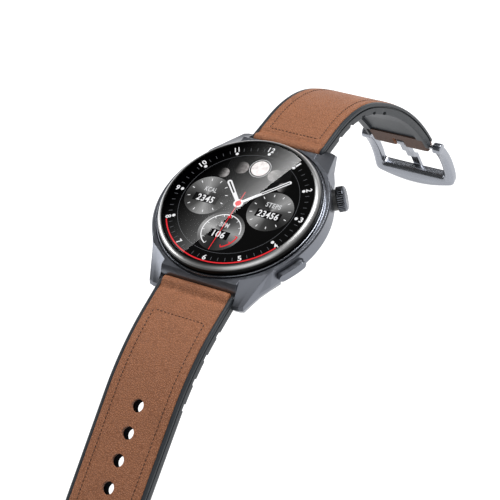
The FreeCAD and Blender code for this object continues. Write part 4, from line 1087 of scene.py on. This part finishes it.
class WATCH_OT_buckle(bpy.types.Operator):
    """Builds the buckle frame: a soft-cornered section carried between an inner and an outer outline"""
    bl_idname = "watch.buckle"
    bl_label = "Buckle"

    def execute(self, context):
        inner = UPPER_END_WIDTH / 2 + BUCKLE_GAP
        outer = inner + BUCKLE_ARM
        front = BUCKLE_WINDOW + BUCKLE_FRONT
        # right half of both outlines, from the pin to the middle of the front bar
        arm_y = np.linspace(0, BUCKLE_WINDOW - 1.0, 14)
        inside = join_profile(np.stack([np.full(14, inner), arm_y], -1),
                              arc(inner - 1.0, BUCKLE_WINDOW - 1.0, 1.0, 0, 90, 8)[1:],
                              np.stack([np.linspace(inner - 1.0, 0, 20)[1:], np.full(19, BUCKLE_WINDOW)], -1))
        flare = outer + BUCKLE_FLARE * arm_y / BUCKLE_WINDOW
        corner = np.array([[outer + BUCKLE_FLARE, BUCKLE_WINDOW], [outer + 0.25, front - 1.2],
                           [outer, front - 0.6], [outer - 0.35, front - 0.15], [outer - 0.8, front + 0.1]])
        k = np.linspace(0, 1, 7)
        where = np.linspace(0, 1, len(corner))
        corner = np.stack([np.interp(k, where, corner[:, i]) for i in (0, 1)], -1)
        x = np.linspace(outer - 0.8, 0, 20)[1:]
        bow = front + 0.1 + (BUCKLE_BOW - 0.1) * (1 - (x / (outer - 0.8)) ** 2)
        outside = join_profile(np.stack([flare, arm_y], -1), corner, np.stack([x, bow], -1))
        inside = np.concatenate([inside, inside[-2::-1] * [-1, 1]])
        outside = np.concatenate([outside, outside[-2::-1] * [-1, 1]])
        a = np.linspace(0, TAU, 44, endpoint=False)
        p = 0.5 + 0.5 * np.sign(np.cos(a)) * np.abs(np.cos(a)) ** BUCKLE_SQUARENESS
        q = np.sign(np.sin(a)) * np.abs(np.sin(a)) ** BUCKLE_SQUARENESS * BUCKLE_THICKNESS / 2
        plan = inside[:, None] + (outside - inside)[:, None] * p[None, :, None]
        # the inner face swells towards the wrist, most along the front bar
        bulge = BUCKLE_SWELL * (1 - (2 * p - 1) ** 2) * (q < 0)
        swell = np.clip(plan[..., 1] / BUCKLE_WINDOW, 0.3, 1)
        height = camber(plan[..., 1]) + q[None, :] - bulge[None, :] * swell
        points = np.concatenate([plan, height[..., None]], -1)
        bow_piece = on_buckle(points)
        verts = bow_piece.reshape(-1, 3)
        faces = tube_faces(*bow_piece.shape[:2])
        # a turned knob holds each end of the pin
        knob = join_profile((0, 0), (KNOB_R - 0.3, 0), arc(KNOB_R - 0.3, 0.3, 0.3, -90, 0, 5)[1:],
                            arc(KNOB_R - 0.3, BUCKLE_ARM - 0.3, 0.3, 0, 90, 5), (0, BUCKLE_ARM))
        steps = 40
        knob_verts = lathe(knob, steps)
        for sign in (1, -1):
            placed = np.stack([sign * (inner + knob_verts[:, 2]), knob_verts[:, 0], knob_verts[:, 1]], -1)
            start = len(verts)
            verts = np.concatenate([verts, on_buckle(placed)])
            faces += [tuple(f) for f in grid_faces(len(knob), steps, close_columns=True, start=start)]
        piece = make("buckle_bow", verts, faces, finish("buckle"), "buckle", 50)
        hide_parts("buckle_frame")
        return {"FINISHED"}


# ---------------------------------------------------------------- dial

LAYER = 0.012               # gap between the picture's flat layers
DIAL_FACE_R = 20.22
TICK_IN, TICK_OUT = 17.75, 18.75
INNER_CIRCLE_R = 16.25
RIPPLE_LIMIT_R = 16.0
RED_ARC = (19.15, 19.5, 121, 238)           # radii and clockwise angles
NUMERAL_HEIGHT = 1.6
NUMERAL_WIDTHS = {1: 0.55, 10: 1.9, 11: 1.25, 12: 1.75}
LABEL_RISE, LABEL_HEIGHT = 2.0, 1.5
NUMBER_DROP, NUMBER_HEIGHT, NUMBER_BOX = 1.1, 2.1, 2.5
HOUR_HAND = (-45, 0.5, 8.9, 0.95, 1.35)     # angle, start, length, width, tip width
MINUTE_HAND = (45, 0.5, 14.8, 0.8, 1.05)
SECOND_ANGLE, SECOND_TAIL, SECOND_REACH = 180.8, -3.9, 15.75
LEFT_DIAL = (-9.45, 0.0)
RIGHT_DIAL = (9.6, 0.0)
LOWER_DIAL = (0.0, -9.45)
MOON_CIRCLE = 12.2
# angle, radius, where the light starts and ends across the moon in radii, brightness
MOONS = [(-48.0, 1.6, -0.8, 0.6, 0.42), (-24.5, 2.0, -0.9, 0.7, 0.42), (0.0, 2.5, -2.0, -1.5, 1.08),
         (24.5, 2.0, 1.1, -0.5, 0.42), (48.0, 1.6, 0.7, -0.8, 0.34)]


def polar(radius, degrees):
    """Dial place of a clockwise angle from 12."""
    a = np.radians(degrees)
    return np.stack([radius * np.sin(a), radius * np.cos(a)], -1)


def layer_z(layer):
    """Height of a layer of the picture."""
    return FACE_Z + LAYER * layer


def sector(centre, r0, r1, a0, a1, layer):
    """Flat ring sector between two radii and two clockwise angles: points and faces."""
    n = max(8, int(abs(a1 - a0) / 3))
    a = np.linspace(a0, a1, n + 1)
    rings = np.stack([polar(r0, a), polar(r1, a)], 0) + np.array(centre)
    points = np.concatenate([rings, np.full(rings.shape[:2] + (1,), layer_z(layer))], -1)
    return points.reshape(-1, 3), grid_faces(2, n + 1)


def disc(centre, radius, layer, n=64):
    """Flat disc with n corners."""
    a = np.linspace(0, 360, n, endpoint=False)
    ring = polar(radius, a) + np.array(centre)
    points = np.concatenate([ring, np.full((n, 1), layer_z(layer))], -1)
    return points, [tuple(range(n))[::-1]]


def bar(start, end, width, layer, end_width=None):
    """Flat bar between two places."""
    start, end = np.array(start, float), np.array(end, float)
    along = (end - start) / np.linalg.norm(end - start)
    side = np.array([along[1], -along[0]])
    w0, w1 = width / 2, (width if end_width is None else end_width) / 2
    corners = np.array([start + side * w0, end + side * w1, end - side * w1, start - side * w0])
    points = np.concatenate([corners, np.full((4, 1), layer_z(layer))], -1)
    return points, [(3, 2, 1, 0)]


def merge(parts):
    """Joins several (points, faces) sets."""
    verts, faces, start = [], [], 0
    for points, quads in parts:
        verts.append(points)
        faces += [tuple(int(i) + start for i in f) for f in quads]
        start += len(points)
    return np.concatenate(verts), faces


def lit(name, parts, mat):
    """A flat lit piece of the dial picture."""
    piece = new_piece(name, *merge(parts))
    flip_up(piece.data)
    piece.data.materials.append(mat)
    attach(piece, "case")
    return piece


def flip_up(mesh):
    """Turns flat faces to look out of the dial."""
    work = bmesh.new()
    work.from_mesh(mesh)
    wrong = [f for f in work.faces if f.normal.z < 0]
    bmesh.ops.reverse_faces(work, faces=wrong)
    work.to_mesh(mesh)
    work.free()


def squeezed(values, size):
    """Values centred on 0 and scaled to a size."""
    return (values - (values.max() + values.min()) / 2) / (values.max() - values.min()) * size


def words(entries, layer, weight=0.03):
    """Lettering as flat points and faces; entries are (text, place, height, clockwise turn, width)."""
    parts = []
    for text, place, height, turn, width in entries:
        curve = bpy.data.curves.new("letters", "FONT")
        curve.body = text
        curve.size = 1.0
        curve.align_x = "CENTER"
        curve.offset = weight
        curve.space_character = 1.12
        curve.resolution_u = 4
        holder = bpy.data.objects.new("letters", curve)
        bpy.context.scene.collection.objects.link(holder)
        bpy.context.view_layer.update()
        depsgraph = bpy.context.evaluated_depsgraph_get()
        mesh = bpy.data.meshes.new_from_object(holder.evaluated_get(depsgraph))
        co = np.zeros(len(mesh.vertices) * 3)
        mesh.vertices.foreach_get("co", co)
        co = co.reshape(-1, 3)
        faces = [tuple(p.vertices) for p in mesh.polygons]
        bpy.data.objects.remove(holder)
        bpy.data.curves.remove(curve)
        bpy.data.meshes.remove(mesh)
        x, y = squeezed(co[:, 0], width), squeezed(co[:, 1], height)
        a = math.radians(turn)
        px = place[0] + x * math.cos(a) + y * math.sin(a)
        py = place[1] - x * math.sin(a) + y * math.cos(a)
        parts.append((np.stack([px, py, np.full_like(px, layer_z(layer))], -1), faces))
    return parts


def slotted_hand(angle, start, length, width, tip_width):
    """White hand with a dark slot and a round tip: (white parts, dark parts)."""
    a, b = polar(start, angle), polar(length - tip_width / 2, angle)
    slot_a, slot_b = polar(start + (length - start) * 0.42, angle), polar(length - tip_width * 0.55, angle)
    white = [bar(a, b, width, 9, tip_width), disc(b, tip_width / 2, 9, 24)]
    dark = [bar(slot_a, slot_b, tip_width * 0.3, 10), disc(slot_b, tip_width * 0.15, 10, 16)]
    return white, dark


class WATCH_OT_dial(bpy.types.Operator):
    """Builds the lit dial picture: minute ring, numerals, three small dials, moons and hands"""
    bl_idname = "watch.dial"
    bl_label = "Dial"

    def execute(self, context):
        settings = dial()
        white = lit_material("lit_white_light", settings.white, 1.05)
        red = lit_material("lit_red_light", settings.red, 1.0)
        dim = lit_material("lit_dim_grey", settings.grey, 0.8)
        faint = lit_material("lit_faint_grey", "#343536", 0.8)
        black = lit_material("unlit_black", "#050506", 0.3)
        lit("dial_face", [disc((0, 0), DIAL_FACE_R, 0, 128)], black)
        self.minute_ring(settings, white, dim, red)
        lit("moon_ripples", self.ripples(), faint)
        self.moons(white)
        self.small_dials(settings, white, red, black, lit_material("lit_soft_white", "#DDDEE0"))
        self.hands(white, black, red)
        return {"FINISHED"}

    def ripples(self):
        """Fine rings round the middle moon, each cut off where it would leave the inner circle."""
        rings = []
        for r in np.arange(3.6, 9.5, 0.5):
            reach = (RIPPLE_LIMIT_R ** 2 - MOON_CIRCLE ** 2 - r ** 2) / (2 * MOON_CIRCLE * r)
            start = math.degrees(math.acos(max(-1.0, min(1.0, reach))))
            if start < 179:
                rings.append(sector((0, MOON_CIRCLE), r, r + 0.08, start, 360 - start, 1))
        return rings

    def minute_ring(self, settings, white, dim, red):
        """Hour dots, numerals, minute ticks, inner circle and the red arc."""
        hours = np.arange(1, 13)
        dotted = [h for h in hours if h not in (5, 6, 7)]
        lit("hour_dots", [disc(polar(settings.dot_circle, 30 * h), 0.45, 3, 32) for h in dotted], white)
        numerals = []
        for h in hours:
            turn = 0 if h in (3, 9) else 30 * h + 180 * (4 <= h <= 8)
            radius = settings.numeral_circle if h in dotted else settings.numeral_circle - 0.5
            wide = NUMERAL_WIDTHS.get(h, 1.0)
            numerals.append((str(h), polar(radius, 30 * h), NUMERAL_HEIGHT, turn, wide))
        lit("hour_numerals", words(numerals, 3, 0.02), white)
        minutes = [m for m in range(60) if m % 5]
        ticks = [bar(polar(TICK_IN, 6 * m), polar(TICK_OUT, 6 * m), 0.13, 2) for m in minutes]
        lit("minute_ticks", ticks, dim)
        lit("inner_circle", [sector((0, 0), INNER_CIRCLE_R, INNER_CIRCLE_R + 0.09, 0, 360, 2)], dim)
        lit("red_arc", [sector((0, 0), *RED_ARC, 3)], red)

    def moons(self, white):
        """Five moons on a circle, and a thin ring round the middle one."""
        for i, (angle, radius, start, stop, bright) in enumerate(MOONS):
            centre = polar(MOON_CIRCLE, angle)
            mat = moon_material(f"moon_picture_{i + 1}", centre, radius, start, stop, bright)
            lit(f"moon_{i + 1}", [disc(centre, radius, 3)], mat)
        lit("moon_ring", [sector(polar(MOON_CIRCLE, 0), 2.85, 2.97, 0, 360, 3)], white)

    def small_dials(self, settings, white, red, black, soft):
        """Three small dials with a number, a label and ticks each; the lower one has the pulse marks."""
        radius = settings.subdial_radius
        for name, centre, turn in (("left", LEFT_DIAL, 20), ("right", RIGHT_DIAL, 75), ("lower", LOWER_DIAL, 130)):
            mat = subdial_material(f"sunray_picture_{name}", centre, turn)
            lit(f"small_dial_{name}", [disc(centre, radius, 4, 96)], mat)
        boxes, texts, labels = [], [], []
        for centre, half, label, number, wide in ((LEFT_DIAL, 3.6, "KCAL", "2345", 5.0),
                                                  (RIGHT_DIAL, 3.6, "STEPS", "23456", 6.0),
                                                  (LOWER_DIAL, 2.9, "BPM", "106", 3.5)):
            x, y = centre[0], centre[1] - NUMBER_DROP
            boxes.append(bar((x - half, y), (x + half, y), NUMBER_BOX, 5))
            labels.append((label, (x, centre[1] + LABEL_RISE), LABEL_HEIGHT, 0, 0.88 * len(label)))
            texts.append((number, (x, y), NUMBER_HEIGHT, 0, wide))
        lit("number_boxes", boxes, black)
        lit("small_dial_numbers", words(texts, 6, 0.024), white)
        lit("small_dial_labels", words(labels, 6, 0.02), soft)
        ticks = []
        for centre in (LEFT_DIAL, RIGHT_DIAL):
            for k in range(12):
                near, far = polar(4.85, 30 * k + 15), polar(5.6, 30 * k + 15)
                ticks.append(bar(np.array(centre) + near, np.array(centre) + far, 0.22, 6))
        for k in range(207, 450, 27):
            near, far = polar(4.6, k), polar(5.3, k)
            ticks.append(bar(np.array(LOWER_DIAL) + near, np.array(LOWER_DIAL) + far, 0.16, 6))
        ticks.append(sector(LOWER_DIAL, 5.15, 5.42, 207, 447, 6))
        lit("small_dial_ticks", ticks, white)
        top = np.array(LOWER_DIAL) + [0, 5.0]
        arrow = bar(top - [0, 0.55], top + [0, 0.55], 1.3, 8, 0.05)
        lower_arc = [sector(LOWER_DIAL, 5.05, 5.45, 96, 153, 7)]
        for k in (96, 124, 153):
            near, far = polar(4.5, k), polar(5.3, k)
            lower_arc.append(bar(np.array(LOWER_DIAL) + near, np.array(LOWER_DIAL) + far, 0.25, 7))
        lit("pulse_marks", lower_arc + [arrow], red)

    def hands(self, white, black, red):
        """Hour and minute hands with dark slots, and the red second hand."""
        hour_white, hour_dark = slotted_hand(*HOUR_HAND)
        minute_white, minute_dark = slotted_hand(*MINUTE_HAND)
        lit("hour_and_minute_hands", hour_white + minute_white + [disc((0, 0), 1.35, 11, 48)], white)
        lit("hand_slots", hour_dark + minute_dark, black)
        tail, reach = polar(SECOND_TAIL, SECOND_ANGLE), polar(SECOND_REACH, SECOND_ANGLE)
        second = [bar(tail, reach, 0.22, 12), disc((0, 0), 0.85, 12, 40)]
        lit("second_hand", second, red)


# ---------------------------------------------------------------- finishes and stage

class WATCH_OT_finishes(bpy.types.Operator):
    """Gives every carried-over node its material"""
    bl_idname = "watch.finishes"
    bl_label = "Finishes"

    def execute(self, context):
        for kind, names in NODE_FINISH.items():
            for name in names:
                mesh = NODES[name].data
                mesh.materials.clear()
                mesh.materials.append(finish(kind))
        return {"FINISHED"}


CAMERA = (211.13, -208.11, 329.38)
GLASS_TOP = float(high("cover_glass")[2])
GLARE_EDGE = ((11.1, 19.9), (-7.3, -22.9))      # line across the glass where the reflection ends
GLARE_ACROSS = (-21.0, 9.0)                     # from that line to where it has faded
GLARE_REACH = 420.0
CAMERA_RIGHT, CAMERA_BACK = (0.8487, 0.4675, -0.2473), (0.4726, -0.4605, 0.7514)
FLOOR_GAP, FLOOR_HALF = 1.0, 3000.0


def area_light(name, place, target, size, power, tint=(1.0, 1.0, 1.0)):
    """Soft rectangular light in millimetres, turned to a target."""
    lamp = bpy.data.lights.new(name, "AREA")
    lamp.shape = "RECTANGLE"
    lamp.size, lamp.size_y = size[0] * MM, size[1] * MM
    lamp.energy = power
    lamp.color = tint
    holder = bpy.data.objects.new(name, lamp)
    bpy.context.scene.collection.objects.link(holder)
    look = Vector(target) - Vector(place)
    turn = look.to_track_quat("-Z", "Y").to_matrix().to_4x4()
    holder.matrix_world = Matrix.Translation(Vector(place) * MM) @ turn
    return holder


class WATCH_OT_stage(bpy.types.Operator):
    """Sets the pale floor, the soft lights and the camera"""
    bl_idname = "watch.stage"
    bl_label = "Stage"

    def execute(self, context):
        scene = bpy.context.scene
        scene.view_settings.view_transform = "Standard"
        settings = scene.watch_stage
        z, size = CAD_BOX[0][2] / MM - FLOOR_GAP, FLOOR_HALF
        floor = new_piece("floor", [(-size, -size, z), (size, -size, z), (size, size, z), (-size, size, z)],
                          [(0, 1, 2, 3)])
        paper, tree, shader, where = new_material("opal_light_table")
        # slight mottle of about 3 mm; the opal sheet is lit from below
        fibre = add(tree, "ShaderNodeTexNoise", {"Vector": where, "Scale": 300.0})
        base = colour(settings.floor_colour)
        tone = add(tree, "ShaderNodeValToRGB", {"Fac": fibre.outputs["Fac"]}, around(shade(base, 0.99), base))
        feed(tree, shader, {"Base Color": tone.outputs["Color"], "Roughness": 0.9, "Specular IOR Level": 0.1,
                            "Emission Color": grey(1.0), "Emission Strength": 1.0})
        floor.data.materials.append(paper)

        world = bpy.data.worlds.new("soft_room")
        scene.world = world
        world.use_nodes = True
        feed(world.node_tree, world.node_tree.nodes["Background"], {"Color": grey(1.0), "Strength": 0.09})

        area_light("overhead", (130, 400, 600), (0, 0, 0), (420, 420), 7.2)
        area_light("front_panel", (330, -520, 330), (0, 0, 0), (700, 350), 0.75)
        area_light("high_panel", (170, -330, 720), (0, 0, 0), (700, 420), 1.0)
        area_light("left_panel", (-600, -60, 200), (0, 0, 0), (500, 200), 1.5)
        self.glare_card()
        self.camera(scene, settings)
        return {"FINISHED"}

    def glare_card(self):
        """A glowing card whose mirror image lies across the upper left of the glass. Each corner is found by
        following the view from the mirrored camera through a point of the glass on to the card's plane."""
        top = GLASS_TOP
        mirrored = np.array([CAMERA[0], CAMERA[1], 2 * top - CAMERA[2]])
        edge_a, edge_b, across = np.array(GLARE_EDGE[0]), np.array(GLARE_EDGE[1]), np.array(GLARE_ACROSS)
        spots = np.array([edge_b, edge_a, edge_a + across, edge_b + across])
        spots = np.concatenate([spots, np.full((4, 1), top)], -1)
        toward = np.array([0.0, 0.0, top]) - mirrored
        toward = toward / np.linalg.norm(toward)
        ray = spots - mirrored
        distance = (GLARE_REACH - (mirrored - [0, 0, top]) @ toward) / (ray @ toward)
        corners = mirrored + ray * distance[:, None]
        card = new_piece("glare_card", corners, [(0, 1, 2, 3)])
        card.data.uv_layers.new(name="glow").data.foreach_set("uv", [0, 0, 0, 1, 1, 1, 1, 0])
        glow = bpy.data.materials.new("glowing_card")
        glow.use_nodes = True
        tree = glow.node_tree
        tree.nodes.clear()
        # brightness (1 - x)^4 times a fade along the card from 0.12 to 1, times 9
        chart = tree.nodes.new("ShaderNodeTexCoord").outputs["UV"]
        split = add(tree, "ShaderNodeSeparateXYZ", {"Vector": chart})
        fade = add(tree, "ShaderNodeMath", {0: 1.0, 1: split.outputs["X"]}, operation="SUBTRACT")
        curve = add(tree, "ShaderNodeMath", {0: fade.outputs[0], 1: 4.0}, operation="POWER")
        length = add(tree, "ShaderNodeMapRange", {"Value": split.outputs["Y"], "To Min": 0.12})
        both = add(tree, "ShaderNodeMath", {0: curve.outputs[0], 1: length.outputs["Result"]},
                   operation="MULTIPLY")
        power = add(tree, "ShaderNodeMath", {0: both.outputs[0], 1: 9.0}, operation="MULTIPLY")
        light = add(tree, "ShaderNodeEmission", {"Strength": power.outputs[0]})
        add(tree, "ShaderNodeOutputMaterial", {"Surface": light.outputs[0]})
        card.data.materials.append(glow)
        card.visible_camera = False
        card.visible_diffuse = False
        card.visible_shadow = False

    def camera(self, scene, settings):
        """The camera, from its place and the two directions that square it."""
        lens = bpy.data.cameras.new("camera")
        lens.lens = settings.lens
        lens.sensor_width = 36.0
        lens.clip_start, lens.clip_end = 0.01, 20.0
        holder = bpy.data.objects.new("camera", lens)
        scene.collection.objects.link(holder)
        back = Vector(CAMERA_BACK).normalized()
        up = back.cross(Vector(CAMERA_RIGHT)).normalized()
        right = up.cross(back)
        turn = Matrix((right, up, back)).transposed()
        place = Vector(CAMERA) * MM
        holder.matrix_world = Matrix.Translation(place) @ turn.to_4x4()
        scene.camera = holder


class WATCH_PT_panel(bpy.types.Panel):
    """Lists the watch's pieces and settings"""
    bl_label = "Smartwatch"
    bl_idname = "WATCH_PT_panel"
    bl_space_type = "VIEW_3D"
    bl_region_type = "UI"
    bl_category = "Smartwatch"

    def draw(self, context):
        layout = self.layout
        for operator in STEPS:
            layout.operator(operator.bl_idname)
        for group in (context.scene.watch_strap, context.scene.watch_dial, context.scene.watch_metal,
                      context.scene.watch_stage):
            for name in group.__annotations__:
                layout.prop(group, name)


STEPS = [WATCH_OT_stage, WATCH_OT_lower_strap, WATCH_OT_upper_strap, WATCH_OT_glass, WATCH_OT_crown,
         WATCH_OT_buckle, WATCH_OT_dial, WATCH_OT_finishes]
SETTINGS = {"watch_strap": StrapSettings, "watch_dial": DialSettings, "watch_metal": MetalSettings,
            "watch_stage": StageSettings}


def register():
    """Registers the settings and the operators."""
    for group in SETTINGS.values():
        bpy.utils.register_class(group)
    for name, group in SETTINGS.items():
        setattr(bpy.types.Scene, name, bpy.props.PointerProperty(type=group))
    for step in STEPS + [WATCH_PT_panel]:
        bpy.utils.register_class(step)


def unregister():
    """Takes them away again."""
    for step in STEPS + [WATCH_PT_panel]:
        bpy.utils.unregister_class(step)
    for name, group in SETTINGS.items():
        delattr(bpy.types.Scene, name)
        bpy.utils.unregister_class(group)


def main():
    """Builds every piece."""
    register()
    for step in STEPS:
        area, name = step.bl_idname.split(".")
        getattr(getattr(bpy.ops, area), name)()


if __name__ == "__main__":
    main()
